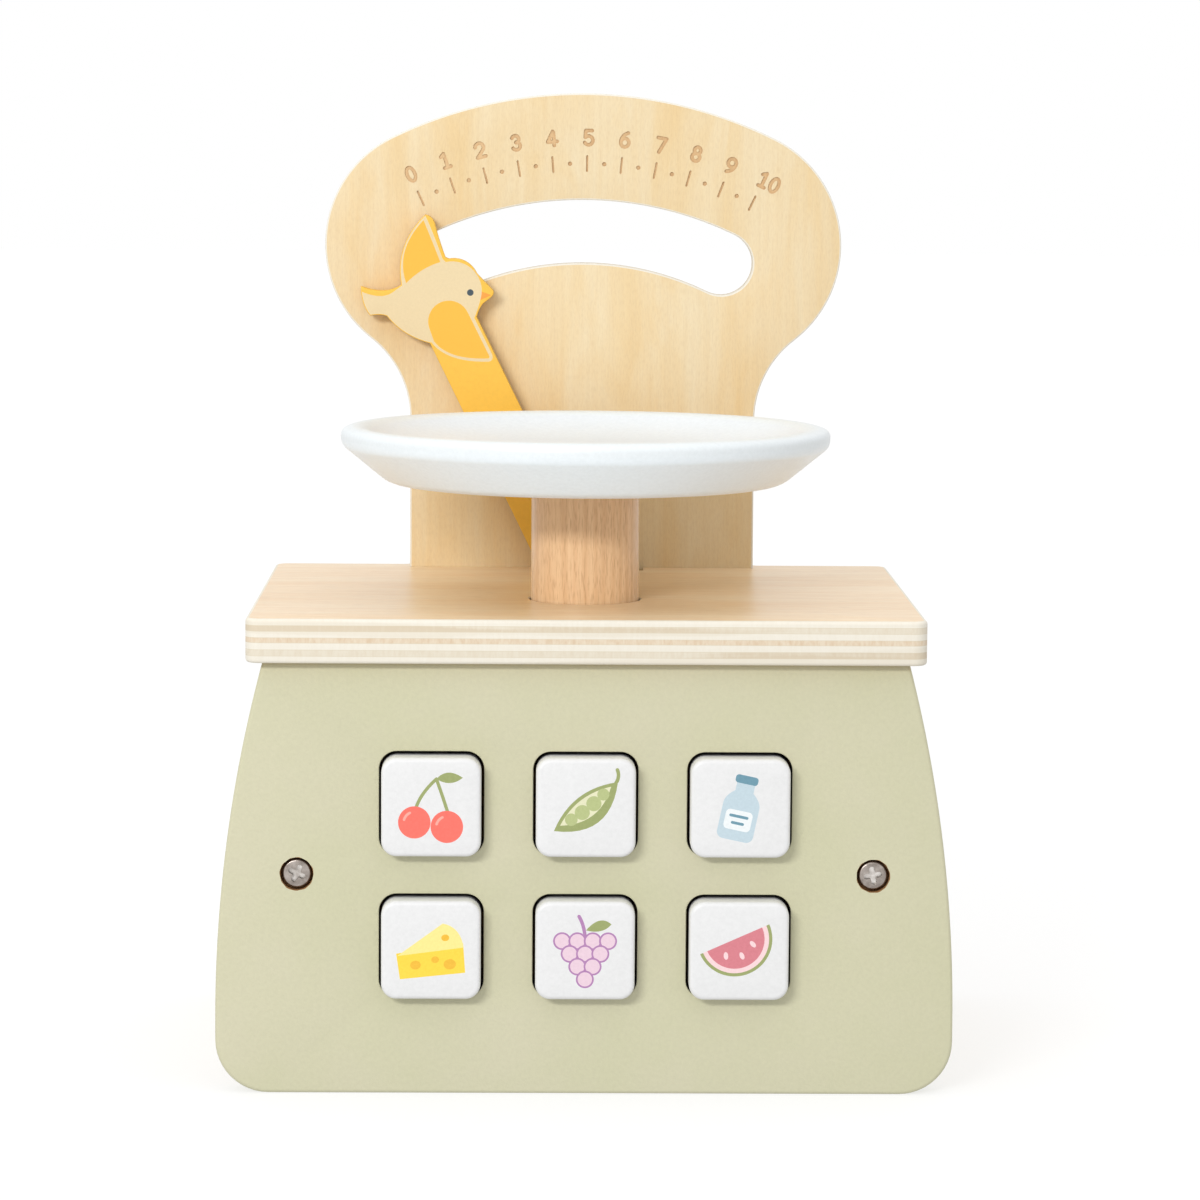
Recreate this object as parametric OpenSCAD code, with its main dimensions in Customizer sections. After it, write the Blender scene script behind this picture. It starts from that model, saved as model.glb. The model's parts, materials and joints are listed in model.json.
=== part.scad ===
// Wooden toy shop scale. Pressing the dish lowers a spring-loaded pillar, whose drive
// pin runs in a cam slot and swings the bird pointer over the dial. Six buttons on the
// front panel press in against springs of their own.
// Millimetres. +X to the right, +Y away from the front, +Z up. The origin lies on the
// floor, under the middle of the object's box.

/* [Body] */
// Height from the floor to the underside of the top plate
body_h = 98; // [88:1:125]
// Width of the front panel and rear wall at their widest
body_w = 166.2; // [150:0.2:200]
// Width of the front panel and rear wall at their top edge
body_top_w = 144.6; // [143:0.2:149]
// Height above the floor where the panel is widest
body_widest_z = 16; // [13:1:30]
// Radius of the panel's lower corners
foot_corner_r = 12; // [4:0.5:13]
// Thickness of the front panel
panel_t = 9; // [7:0.5:12]
// Thickness of the back board that carries the dial
back_t = 7; // [6:0.5:10]
// Thickness of each side board
side_t = 12; // [10:0.5:16]
// Distance from the middle plane to the middle of a side board
side_mid_x = 64.7; // [60:0.1:66]
// Thickness of the base board
base_t = 6; // [6:0.5:9]
// Height of the base board's underside above the floor
base_lift = 1; // [0.5:0.1:3]

/* [Top plate] */
// Width of the top plate
plate_w = 152; // [146:1:190]
// Depth of the top plate
plate_d = 122; // [119:1:150]
// Thickness of the plywood top plate
plate_t = 10; // [8:0.5:14]
// Radius of the plate's upright corners
plate_corner_r = 3.25; // [1:0.25:8]
// Set-back of the front panel behind the plate's front edge
panel_inset = 4; // [1:0.5:8]

/* [Dial] */
// Width of the dial's head at its widest
head_w = 127; // [110:0.2:150]
// Height of the head's widest line above the plate
head_mid_rise = 79.6; // [70:0.1:95]
// Radius of the head's two side lobes
lobe_r = 29.2; // [24:0.2:36]
// Width of the neck below the head
neck_w = 85; // [70:0.2:100]
// Radius of the hollow curve from neck to head
neck_fillet_r = 25; // [10:0.2:28]
// Height of the centre of the head's crown above the plate
crown_centre_rise = 9.7; // [0:0.1:14]
// Height of the centre of the number scale above the plate
scale_centre_rise = 4; // [0:0.5:12]
// Radius of the middle of the tick marks
scale_r = 95.65; // [90:0.05:110]
// Angle from the middle of the scale to its last tick
scale_half_angle = 25.2; // [20:0.1:30]
// Radius of the window's middle line
window_r = 79; // [70:0.5:84]
// Width of the curved window
window_w = 15.5; // [8:0.5:20]
// Angle from the middle of the window to its end centre
window_half_angle = 25.5; // [15:0.5:28]

/* [Dish] */
// Diameter of the dish over its rim
dish_d = 113; // [90:1:140]
// Height of the dish
dish_h = 13.1; // [11:0.1:18]
// Width of the dish's rounded edge outside its flat underside
dish_edge_w = 13.5; // [13:0.5:20]
// Radius of the curve from the dish's underside into its flank
dish_foot_round = 7; // [2:0.1:8]
// Radius of the curve from the flank to the rim
dish_lip_r = 3; // [2.5:0.1:6]
// Radius of the rim's outer upper edge
dish_rim_r = 1.6; // [1:0.1:2]
// Radius of the rim's crown, which rolls over into the bowl
dish_crown_r = 5.5; // [3:0.1:7]
// Thickness of the dish under its flat floor
dish_floor_t = 7.5; // [6:0.1:9]
// Radius of the flat part of the dish's floor
dish_floor_r = 34; // [15:0.5:36]
// Free height between the top plate and the dish
dish_lift = 27; // [18:0.1:40]
// Space from the dish's rim to the plate's rear edge
dish_rear_gap = 21; // [16:0.5:30]
// Diameter of the pillar
pillar_d = 25; // [22:0.5:32]
// Depth of the pillar's socket in the dish
socket_h = 4; // [2:0.5:5]
// Travel of the dish when it is pressed down
press_travel = 15; // [10:0.5:18]

/* [Pointer] */
// Thickness of the pointer
pointer_t = 5; // [3:0.5:6]
// Space between the pointer and the dial
pointer_gap = 1; // [0.8:0.1:2]
// Lean of the pointer's arm to the left at rest
arm_lean = 26.2; // [24:0.1:28]
// Sideways offset of the arm's middle line from the pivot
arm_offset = 3.6; // [2:0.1:4.5]
// Width of the arm
arm_w = 13.1; // [10:0.1:15]
// Depth of the pivot below the plate
pivot_drop = 4; // [3.9:0.1:8]
// Radius of the pointer's boss round the pivot
boss_r = 9; // [7:0.1:10]
// Distance from the pivot to the drive pin at rest
cam_start_r = 14; // [13:0.5:18]
// Wood left around the cam slot
cam_wall = 4.5; // [3:0.1:6]

/* [Buttons] */
// Side of a button's square face
button_w = 22.3; // [18:0.1:28]
// Radius of a button's corners
button_corner_r = 3.4; // [2:0.1:6]
// Height of a button above the panel
button_rise = 5; // [3:0.1:8]
// Travel of a button
button_travel = 4; // [2:0.1:5]
// Wood between two holes side by side
hole_web_x = 11; // [8:0.1:16]
// Wood between two holes one above the other
hole_web_z = 8.8; // [8:0.1:12]
// Height of the middle of the button field and of the panel screws
field_z = 50; // [44:0.5:60]
// Width of the flange that keeps a button from falling out
flange_lip = 2.4; // [1.5:0.1:3]
// Thickness of the flange
flange_t = 3; // [2:0.5:4]
// Slope cut along a button's front edges
button_ease = 0.8; // [0.3:0.1:1.5]

/* [Clearances] */
// Gap on each side of a button in its hole
button_gap = 0.6; // [0.3:0.01:1]
// How far a button rests below the middle of its hole
button_drop = 0.2; // [0:0.05:0.25]
// Gap round the pillar in the plate
pillar_gap = 0.4; // [0.2:0.05:0.8]
// Gap between a moving piece and its stop or guide
run_gap = 0.3; // [0.2:0.05:0.5]
// Gap on each side of a glued or screwed joint
glue_gap = 0.05; // [0.02:0.01:0.1]

/* [Hidden] */
$fn = 64;
// Longer than the whole object, for wedges
far = 400;
// Overshoot of a cut past the wood, and of one solid into its other half
cut = 1;

columns = [-1, 0, 1];
rows = [1, -1];
button_count = len(columns) * len(rows);
BUTTON_IDS = [for (i = [1 : button_count]) str(i)];

// Stations from front to back
box_d = dish_d + dish_rear_gap;
rear_y = box_d / 2;
pillar_y = rear_y - dish_rear_gap - dish_d / 2;
plate_front_y = rear_y - plate_d;
panel_y = plate_front_y + panel_inset;
panel_rear_y = panel_y + panel_t;
dial_y = rear_y - back_t;
pointer_rear_y = dial_y - pointer_gap;
pointer_y = pointer_rear_y - pointer_t;
inner_d = dial_y - panel_rear_y;

// Stations from the floor up
base_top_z = base_lift + base_t;
plate_top_z = body_h + plate_t;
scale_centre_z = plate_top_z + scale_centre_rise;
crown_centre_z = plate_top_z + crown_centre_rise;
head_mid_z = plate_top_z + head_mid_rise;
dish_z = plate_top_z + dish_lift;
pivot_z = body_h - pivot_drop;

// Body outline
bell_r = (pow(body_w - body_top_w, 2) / 4 + pow(body_h - body_widest_z, 2))
    / (body_w - body_top_w);
side_in_x = side_mid_x - side_t / 2;
side_out_x = side_mid_x + side_t / 2;

// Dial outline: the crown is an arc that meets both lobes
lobe_x = head_w / 2 - lobe_r;
crown_lean = atan2(lobe_x, head_mid_z - crown_centre_z);
neck_x = neck_w / 2;
fillet_x = neck_x + neck_fillet_r;
crown_r = norm([lobe_x, head_mid_z - crown_centre_z]) + lobe_r;
fillet_z = head_mid_z
    - sqrt(pow(lobe_r + neck_fillet_r, 2) - pow(fillet_x - lobe_x, 2));
lobe_tangent = [lobe_x, head_mid_z] + lobe_r
    * [fillet_x - lobe_x, fillet_z - head_mid_z] / (lobe_r + neck_fillet_r);

// Drive from dish to pointer: the pointer turns in step with the dish's travel
last_tick = [scale_r * sin(scale_half_angle),
             scale_centre_z - pivot_z + scale_r * cos(scale_half_angle)];
pointer_turn = 2 * atan2(last_tick[0], last_tick[1]);
drive_pin_d = 4;
pivot_d = 4;
pivot_head_d = 7;
pivot_head_h = 2.5;
pivot_web = 1;
washer_d = 10;
cam_slot_r = drive_pin_d / 2 + run_gap;
cam_steps = 20;
cam_path = [for (i = [0 : cam_steps])
    (cam_start_r + press_travel * i / cam_steps)
        * [sin(pointer_turn * i / cam_steps), -cos(pointer_turn * i / cam_steps)]];
drive_pin_z = pivot_z - cam_start_r;
drive_pin_hold = 11;
drive_pin_y = pointer_y - drive_pin_hold;
drive_pin_end_gap = 0.6;
drive_pin_end_y = dial_y - drive_pin_end_gap;

// Drive arm under the plate: its tongue sits in the pillar and its top is the upper stop
arm_t = 10;
arm_top_z = body_h - run_gap;
tongue_h = 20;
tongue_in = 9.5;
arm_low_z = arm_top_z - tongue_h;
arm_end_r = 7;
arm_end_gap = 1;
arm_end_y = pointer_y - arm_end_gap - arm_end_r;
stop_l = 12;
arm_stop_y = pillar_y + pillar_d / 2 + stop_l;
arm_screw_z = arm_top_z - tongue_h / 2;

// Guide peg and return spring under the pillar
peg_d = 8;
peg_engage = 18;
peg_web = 4;
pillar_low_z = arm_low_z - peg_web - peg_engage - press_travel - run_gap;
peg_top_z = pillar_low_z + peg_engage;
peg_floor = 1;
peg_seat = base_t - peg_floor;
dish_spring_wire = 1.4;
dish_spring_r = 8.5;
dish_spring_l = pillar_low_z - base_top_z - 2 * glue_gap;
dish_spring_most = 7;
wire_pitch = 1.3 * dish_spring_wire;
dish_spring_turns = min(dish_spring_most, floor((dish_spring_l - press_travel) / wire_pitch));

// Arm edges at the plate's top, at rest and at full turn, set the slot in the plate
arm_l = 82;
plate_top_rise = plate_top_z - pivot_z;
function arm_edge(side, along) =
    let (across = arm_offset + side * arm_w / 2)
    [across * cos(arm_lean) - along * sin(arm_lean),
     across * sin(arm_lean) + along * cos(arm_lean)];
function turned(p, angle) =
    [p[0] * cos(angle) + p[1] * sin(angle), p[1] * cos(angle) - p[0] * sin(angle)];
function arm_reach(side, angle) =
    let (low = turned(arm_edge(side, 0), angle), high = turned(arm_edge(side, arm_l), angle))
    low[0] + (high[0] - low[0]) * (plate_top_rise - low[1]) / (high[1] - low[1]);
slot_margin = 0.7;
slot_left = min(arm_reach(-1, 0), -boss_r) - slot_margin;
slot_right = max(arm_reach(1, pointer_turn), boss_r) + slot_margin;
slot_front_y = pointer_y - arm_end_gap;

// Buttons and what carries them
hole_w = button_w + 2 * button_gap;
hole_corner_r = button_corner_r + button_gap;
pitch_x = hole_w + hole_web_x;
pitch_z = hole_w + hole_web_z;
HOLE_AT = [for (r = rows, c = columns) [c * pitch_x, field_z + r * pitch_z / 2]];
BUTTON_AT = [for (at = HOLE_AT) at - [0, button_drop]];
button_y = panel_y - button_rise;
flange_y = panel_rear_y + run_gap;
flange_w = hole_w + 2 * flange_lip;
button_spring_wire = 0.8;
button_spring_r = 4;
button_spring_turns = 5;
spring_seat = 2;
backer_t = 5;
spring_room = 3.7;
backer_y = flange_y + flange_t + button_travel + spring_room;
button_spring_y = flange_y + flange_t + glue_gap;
button_spring_l = backer_y + spring_seat - button_spring_y - glue_gap;
backer_groove = 4;
backer_top_gap = 8;
backer_top_z = body_h - backer_top_gap;

// Fasteners
screw_d = 3.5;
screw_head_d = 6.5;
screw_head_h = 2.2;
counterbore_d = 7.4;
panel_counterbore = 3;
panel_screw_l = 30;
rear_counterbore = 2.6;
rear_screw_l = 24;
base_screw_l = 18;
base_counterbore = 2.8;
arm_screw_l = 24;
dowel_d = 6;
dowel_l = 14;
panel_dowel_in = 5;
rear_dowel_in = 4;
plate_dowel_in = 6;
dowel_spread_z = 28;
plate_dowel_inset = 20;
plate_dowel_y = [pillar_y, dial_y - plate_dowel_inset];
base_screw_inset = [20, 14];
base_screw_y = [panel_rear_y + base_screw_inset[0], dial_y - base_screw_inset[1]];

// Colours
GREEN = [0.84, 0.83, 0.71];
BIRCH = [0.95, 0.87, 0.73];
PLY = [0.92, 0.85, 0.76];
BEECH = [0.83, 0.66, 0.49];
WHITE = [0.95, 0.95, 0.94];
YELLOW = [1.00, 0.78, 0.34];
STEEL = [0.70, 0.70, 0.72];
FIBRE = [0.62, 0.48, 0.36];

function arc(centre, radius, from, to, steps) =
    [for (i = [0 : steps]) let (a = from + (to - from) * i / steps)
        centre + radius * [cos(a), sin(a)]];
function bend(p, control, q, steps) =
    [for (i = [0 : steps]) let (t = i / steps)
        (1 - t) * (1 - t) * p + 2 * t * (1 - t) * control + t * t * q];

// Extrudes an outline drawn in X and Z, from y0 towards the back
module upright(y0, t) {
    translate([0, y0 + t, 0]) rotate([90, 0, 0]) linear_extrude(t) children();
}

// A round rod along Y
module rod_y(at, y0, y1, d) {
    translate([at[0], y0, at[1]]) rotate([-90, 0, 0]) cylinder(d = d, h = y1 - y0);
}

module rounded_square(w, r) {
    square([w, w - 2 * r], center = true);
    square([w - 2 * r, w], center = true);
    for (x = [-1, 1], y = [-1, 1]) translate([x, y] * (w / 2 - r)) circle(r);
}

// Pan-head screw along +Z: the head ends at z = 0 and its cross recess faces -Z
module screw(length) {
    tip_l = screw_d;
    tip_d = 0.6;
    recess = [screw_head_d * 0.62, screw_d * 0.28, screw_head_h * 0.55];
    difference() {
        union() {
            translate([0, 0, -screw_head_h]) cylinder(d = screw_head_d, h = screw_head_h);
            cylinder(d = screw_d, h = length - tip_l);
            translate([0, 0, length - tip_l]) cylinder(d1 = screw_d, d2 = tip_d, h = tip_l);
        }
        for (turn = [0, 90]) rotate(turn)
            translate([-recess[0] / 2, -recess[1] / 2, -screw_head_h - cut])
                cube([recess[0], recess[1], recess[2] + cut]);
    }
}

// Open coil along +Z: one unbroken six-sided tube
function coil_centre(r, wire, length, turns, i) =
    let (a = 45 * i) [r * cos(a), r * sin(a), wire / 2 + (length - wire) * i / (8 * turns)];
function coil_gap(r, wire, length, turns) =
    min([for (i = [0 : 8 * turns - 5], j = [i + 5 : 8 * turns])
        norm(coil_centre(r, wire, length, turns, i)
            - coil_centre(r, wire, length, turns, j))]) - wire;
module coil(r, wire, length, turns) {
    rings = 8 * turns;
    sides = 6;
    points = [for (i = [0 : rings], j = [0 : sides - 1])
        let (c = coil_centre(r, wire, length, turns, i), a = 45 * i, b = 60 * j)
        c + wire / 2 * [cos(b) * cos(a), cos(b) * sin(a), sin(b)]];
    walls = [for (i = [0 : rings - 1], j = [0 : sides - 1])
        let (k = (j + 1) % sides, low = i * sides, high = low + sides)
        each [[low + j, high + k, low + k], [low + j, high + j, high + k]]];
    caps = [for (j = [1 : sides - 2])
        each [[0, j, j + 1],
              [rings * sides, rings * sides + j + 1, rings * sides + j]]];
    polyhedron(points, concat(walls, caps));
}

// Bell outline of the front panel and of the rear wall
module bell_2d() {
    half = body_w / 2;
    intersection() {
        translate([half - bell_r, body_widest_z]) circle(bell_r);
        translate([bell_r - half, body_widest_z]) circle(bell_r);
        translate([-half, body_widest_z]) square([body_w, body_h - body_widest_z]);
    }
    translate([-half, foot_corner_r]) square([body_w, body_widest_z - foot_corner_r]);
    translate([foot_corner_r - half, 0]) square([body_w - 2 * foot_corner_r, foot_corner_r]);
    for (s = [-1, 1]) translate([s * (half - foot_corner_r), foot_corner_r])
        circle(foot_corner_r);
}

module head_2d() {
    centre = [0, crown_centre_z];
    intersection() {
        translate(centre) circle(crown_r);
        polygon([centre, centre + far * [sin(crown_lean), cos(crown_lean)],
                 centre + far * [-sin(crown_lean), cos(crown_lean)]]);
    }
    for (s = [-1, 1]) translate([s * lobe_x, head_mid_z]) circle(lobe_r);
    difference() {
        polygon([[lobe_x, head_mid_z], [-lobe_x, head_mid_z],
                 [-lobe_tangent[0], lobe_tangent[1]], [-fillet_x, fillet_z],
                 [fillet_x, fillet_z], lobe_tangent]);
        for (s = [-1, 1]) translate([s * fillet_x, fillet_z]) circle(neck_fillet_r);
    }
    translate([-neck_x, body_h - cut]) square([neck_w, fillet_z - body_h + cut]);
}

module window_2d() {
    wedge = far * [sin(window_half_angle), cos(window_half_angle)];
    translate([0, scale_centre_z]) {
        intersection() {
            difference() {
                circle(window_r + window_w / 2);
                circle(window_r - window_w / 2);
            }
            polygon([[0, 0], wedge, [-wedge[0], wedge[1]]]);
        }
        for (s = [-1, 1])
            translate(window_r * [s * sin(window_half_angle), cos(window_half_angle)])
                circle(window_w / 2);
    }
}

module front_panel() {
    color(GREEN) difference() {
        upright(panel_y, panel_t) difference() {
            bell_2d();
            for (at = HOLE_AT) translate(at) rounded_square(hole_w, hole_corner_r);
        }
        for (s = [-1, 1]) {
            at = [s * side_mid_x, field_z];
            rod_y(at, panel_y - cut, panel_y + panel_counterbore, counterbore_d);
            rod_y(at, panel_y - cut, panel_rear_y + cut, screw_d + 2 * glue_gap);
        }
        dowel_holes(panel_rear_y - panel_dowel_in, panel_rear_y + cut);
    }
}

module back_board() {
    color(BIRCH) difference() {
        upright(dial_y, back_t) difference() {
            union() {
                bell_2d();
                head_2d();
            }
            window_2d();
        }
        for (s = [-1, 1]) {
            at = [s * side_mid_x, field_z];
            rod_y(at, rear_y - rear_counterbore, rear_y + cut, counterbore_d);
            rod_y(at, dial_y - cut, rear_y + cut, screw_d + 2 * glue_gap);
        }
        dowel_holes(dial_y - cut, dial_y + rear_dowel_in);
        rod_y([0, pivot_z], dial_y - cut, rear_y - pivot_web, pivot_d + 2 * glue_gap);
    }
}

// Four blind holes along Y for the locating dowels of the front panel or back board
module dowel_holes(y0, y1) {
    for (s = [-1, 1], z = [-1, 1])
        rod_y([s * side_mid_x, field_z + z * dowel_spread_z], y0, y1,
              dowel_d + 2 * glue_gap);
}

module side_board(s) {
    groove_x = s > 0 ? side_in_x - cut : -side_in_x - backer_groove;
    color(PLY) difference() {
        translate([s > 0 ? side_in_x : -side_out_x, panel_rear_y, base_top_z])
            cube([side_t, inner_d, body_h - base_top_z]);
        translate([groove_x, backer_y - glue_gap, base_top_z - cut])
            cube([backer_groove + cut, backer_t + 2 * glue_gap, body_h]);
        rod_y([s * side_mid_x, field_z], panel_rear_y - cut,
              panel_y + panel_counterbore + panel_screw_l + cut, screw_d + 2 * glue_gap);
        rod_y([s * side_mid_x, field_z], rear_y - rear_counterbore - rear_screw_l - cut,
              dial_y + cut, screw_d + 2 * glue_gap);
        dowel_holes(panel_rear_y - cut, panel_rear_y - panel_dowel_in + dowel_l);
        dowel_holes(dial_y + rear_dowel_in - dowel_l, dial_y + cut);
        for (y = plate_dowel_y) translate([s * side_mid_x, y, body_h + plate_dowel_in - dowel_l])
            cylinder(d = dowel_d + 2 * glue_gap, h = dowel_l);
        for (y = base_screw_y) translate([s * side_mid_x, y, base_top_z - cut])
            cylinder(d = screw_d + 2 * glue_gap, h = base_screw_l);
    }
}

module top_plate() {
    corner = [plate_w, plate_d] / 2 - [plate_corner_r, plate_corner_r];
    color(PLY) difference() {
        translate([0, rear_y - plate_d / 2, body_h]) linear_extrude(plate_t) {
            square([plate_w, 2 * corner[1]], center = true);
            square([2 * corner[0], plate_d], center = true);
            for (x = [-1, 1], y = [-1, 1])
                translate([x * corner[0], y * corner[1]]) circle(plate_corner_r);
        }
        translate([0, pillar_y, body_h - cut])
            cylinder(d = pillar_d + 2 * pillar_gap, h = plate_t + 2 * cut);
        translate([-neck_x - glue_gap, dial_y - glue_gap, body_h - cut])
            cube([neck_w + 2 * glue_gap, back_t + cut, plate_t + 2 * cut]);
        translate([slot_left, slot_front_y, body_h - cut])
            cube([slot_right - slot_left, dial_y - slot_front_y + cut, plate_t + 2 * cut]);
        for (s = [-1, 1], y = plate_dowel_y) translate([s * side_mid_x, y, body_h - cut])
            cylinder(d = dowel_d + 2 * glue_gap, h = plate_dowel_in + cut);
    }
}

module base_board() {
    color(PLY) difference() {
        translate([-side_out_x, panel_rear_y, base_lift])
            cube([2 * side_out_x, inner_d, base_t]);
        translate([0, pillar_y, base_top_z - peg_seat])
            cylinder(d = peg_d + 2 * glue_gap, h = peg_seat + cut);
        for (s = [-1, 1], y = base_screw_y) translate([s * side_mid_x, y, base_lift - cut]) {
            cylinder(d = counterbore_d, h = base_counterbore + cut);
            cylinder(d = screw_d + 2 * glue_gap, h = base_t + 2 * cut);
        }
    }
}

module button_backer() {
    half = side_in_x + backer_groove - run_gap;
    color(FIBRE) difference() {
        translate([-half, backer_y, base_top_z])
            cube([2 * half, backer_t, backer_top_z - base_top_z]);
        for (at = BUTTON_AT)
            rod_y(at, backer_y - cut, backer_y + spring_seat,
                  2 * button_spring_r + button_spring_wire + 2 * run_gap);
    }
}

module dish() {
    rim_land = 0.7;
    crown_start = 65;
    crown_end = 125;
    crown_in = dish_crown_r - dish_rim_r;
    crown = [dish_d / 2 - dish_rim_r - crown_in * cos(crown_start), dish_h - dish_crown_r];
    rim = crown + crown_in * [cos(crown_start), sin(crown_start)];
    lip = [dish_d / 2 - dish_lip_r, rim[1] - rim_land];
    foot = [dish_d / 2 - dish_edge_w, dish_foot_round];
    span = lip - foot;
    flank = atan2(span[1], span[0]) - asin((dish_lip_r - dish_foot_round) / norm(span));
    bowl_top = crown + dish_crown_r * [cos(crown_end), sin(crown_end)];
    bowl_x = bowl_top[0] - (bowl_top[1] - dish_floor_t) / tan(crown_end - 90);
    floor_end = [min(dish_floor_r, bowl_x), dish_floor_t];
    color(WHITE) translate([0, pillar_y, dish_z]) difference() {
        rotate_extrude() polygon(concat(
            [[0, 0]],
            arc(foot, dish_foot_round, -90, flank - 90, 6),
            arc(lip, dish_lip_r, flank - 90, 0, 8),
            arc(rim, dish_rim_r, 0, crown_start, 5),
            arc(crown, dish_crown_r, crown_start, crown_end, 8),
            bend(bowl_top, [bowl_x, dish_floor_t], floor_end, 8),
            [[0, dish_floor_t]]));
        translate([0, 0, -cut]) cylinder(d = pillar_d + 2 * glue_gap, h = socket_h + cut);
    }
}

module pillar() {
    color(BEECH) difference() {
        translate([0, pillar_y, pillar_low_z])
            cylinder(d = pillar_d, h = dish_z + socket_h - glue_gap - pillar_low_z);
        translate([0, pillar_y, pillar_low_z - cut])
            cylinder(d = peg_d + 2 * run_gap, h = peg_engage + press_travel + run_gap + cut);
        translate([-arm_t / 2 - glue_gap, pillar_y + pillar_d / 2 - tongue_in, arm_low_z])
            cube([arm_t + 2 * glue_gap, tongue_in + cut, tongue_h + glue_gap]);
        rod_y([0, arm_screw_z], pillar_y - pillar_d, pillar_y - pillar_d / 2 + panel_counterbore,
              counterbore_d);
        rod_y([0, arm_screw_z], pillar_y - pillar_d, pillar_y + pillar_d, screw_d + 2 * glue_gap);
    }
}

// Side profile of the drive arm, drawn in Y and Z
module drive_arm_2d() {
    front_y = pillar_y + pillar_d / 2 - tongue_in + glue_gap;
    polygon([[front_y, arm_top_z], [front_y, arm_low_z + glue_gap],
             [arm_stop_y, arm_low_z + glue_gap], [arm_end_y, drive_pin_z - arm_end_r],
             [arm_end_y, drive_pin_z + arm_end_r], [arm_stop_y, arm_top_z]]);
    translate([arm_end_y, drive_pin_z]) circle(arm_end_r);
}

module drive_arm() {
    screw_from = pillar_y - pillar_d / 2;
    color(FIBRE) difference() {
        translate([-arm_t / 2, 0, 0]) rotate([90, 0, 90]) linear_extrude(arm_t) drive_arm_2d();
        rod_y([0, arm_screw_z], screw_from, screw_from + panel_counterbore + arm_screw_l + cut,
              screw_d + 2 * glue_gap);
        rod_y([0, drive_pin_z], drive_pin_y, pointer_rear_y, drive_pin_d + 2 * glue_gap);
    }
}

module arm_screw() {
    color(STEEL) translate([0, pillar_y - pillar_d / 2 + panel_counterbore, arm_screw_z])
        rotate([-90, 0, 0]) screw(arm_screw_l);
}

module drive_pin() {
    color(STEEL) rod_y([0, drive_pin_z], drive_pin_y + glue_gap, drive_pin_end_y, drive_pin_d);
}

// Bird on the pointer's end, drawn from the centre of the number scale
module bird_2d() {
    wing_tip = [-38.8, 83];
    wing_side = [-36.5, 81];
    wing_root = [-33.85, 72.65];
    head = [-31.8, 66.15];
    head_r = 6.25;
    beak_high = [-22.2, 64.7];
    beak_low = [-22.7, 62.9];
    chin = [-24.6, 61.4];
    breast = [-26.05, 58.3];
    belly = [-37.4, 51.6];
    tail_root = [-48.1, 58.2];
    tail_low = [-52.2, 58.3];
    tail_high = [-54.5, 65.4];
    back = [-44.6, 65.8];
    polygon(concat(
        bend(wing_tip, [-46.4, 75.6], back, 10),
        bend(back, [-48.6, 63.2], tail_high, 6),
        bend(tail_high, [-54.4, 60.8], tail_low, 5),
        bend(tail_low, [-49.6, 58.8], tail_root, 3),
        bend(tail_root, [-44.2, 53.2], belly, 8),
        bend(breast, [-25.7, 59.9], chin, 4),
        bend(beak_low, [-21.6, 63.8], beak_high, 4),
        arc(head, head_r, 24, 101, 10),
        bend(wing_root, [-35.5, 77], wing_side, 5),
        bend(wing_side, [-37.1, 82.7], wing_tip, 4)));
}

module pointer_2d() {
    rotate(arm_lean) translate([arm_offset, 0])
        translate([-arm_w / 2, 0]) square([arm_w, arm_l]);
    translate([0, scale_centre_z - pivot_z]) bird_2d();
    circle(boss_r);
    offset(r = cam_slot_r + cam_wall, $fn = 32) polygon(concat([[0, 0]], cam_path));
}

// Curved slot in which the drive pin runs: the pin's path seen from the turning pointer
module cam_slot_2d() {
    last = len(cam_path) - 1;
    ahead = [for (i = [0 : last])
        let (run = cam_path[min(i + 1, last)] - cam_path[max(i - 1, 0)]) run / norm(run)];
    left = [for (i = [0 : last]) cam_path[i] + cam_slot_r * [-ahead[i][1], ahead[i][0]]];
    right = [for (i = [last : -1 : 0]) cam_path[i] + cam_slot_r * [ahead[i][1], -ahead[i][0]]];
    polygon(concat(left, right));
    for (end = [cam_path[0], cam_path[last]]) translate(end) circle(cam_slot_r);
}

module pointer() {
    color(YELLOW) translate([0, 0, pivot_z]) upright(pointer_y, pointer_t) difference() {
        pointer_2d();
        circle(d = pivot_d + run_gap);
        cam_slot_2d();
    }
}

module pivot_screw() {
    head_y = pointer_y - run_gap;
    color(STEEL) {
        rod_y([0, pivot_z], head_y - pivot_head_h, head_y, pivot_head_d);
        rod_y([0, pivot_z], head_y - cut, rear_y - pivot_web - glue_gap, pivot_d);
    }
}

module pivot_washer() {
    color(STEEL) difference() {
        rod_y([0, pivot_z], pointer_rear_y + run_gap, dial_y, washer_d);
        rod_y([0, pivot_z], pointer_rear_y, dial_y + cut, pivot_d + run_gap);
    }
}

module guide_peg() {
    color(BEECH) translate([0, pillar_y, base_top_z - peg_seat + glue_gap])
        cylinder(d = peg_d, h = peg_top_z - base_top_z + peg_seat - glue_gap);
}

module dish_spring() {
    color(STEEL) translate([0, pillar_y, base_top_z + glue_gap])
        coil(dish_spring_r, dish_spring_wire, dish_spring_l, dish_spring_turns);
}

module button_cap(i) {
    depth = flange_y - button_y;
    half = button_w / 2;
    ease_w = button_ease * sqrt(2);
    color(WHITE) translate([BUTTON_AT[i][0], 0, BUTTON_AT[i][1]]) difference() {
        upright(button_y, depth) rounded_square(button_w, button_corner_r);
        for (turn = [0 : 90 : 270]) rotate([0, turn, 0]) translate([half, button_y, 0])
            rotate([0, 0, 45]) cube([ease_w, ease_w, 2 * button_w], center = true);
    }
}

module button_flange(i) {
    color(FIBRE) translate([BUTTON_AT[i][0], 0, BUTTON_AT[i][1]])
        upright(flange_y, flange_t) rounded_square(flange_w, hole_corner_r);
}

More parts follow.
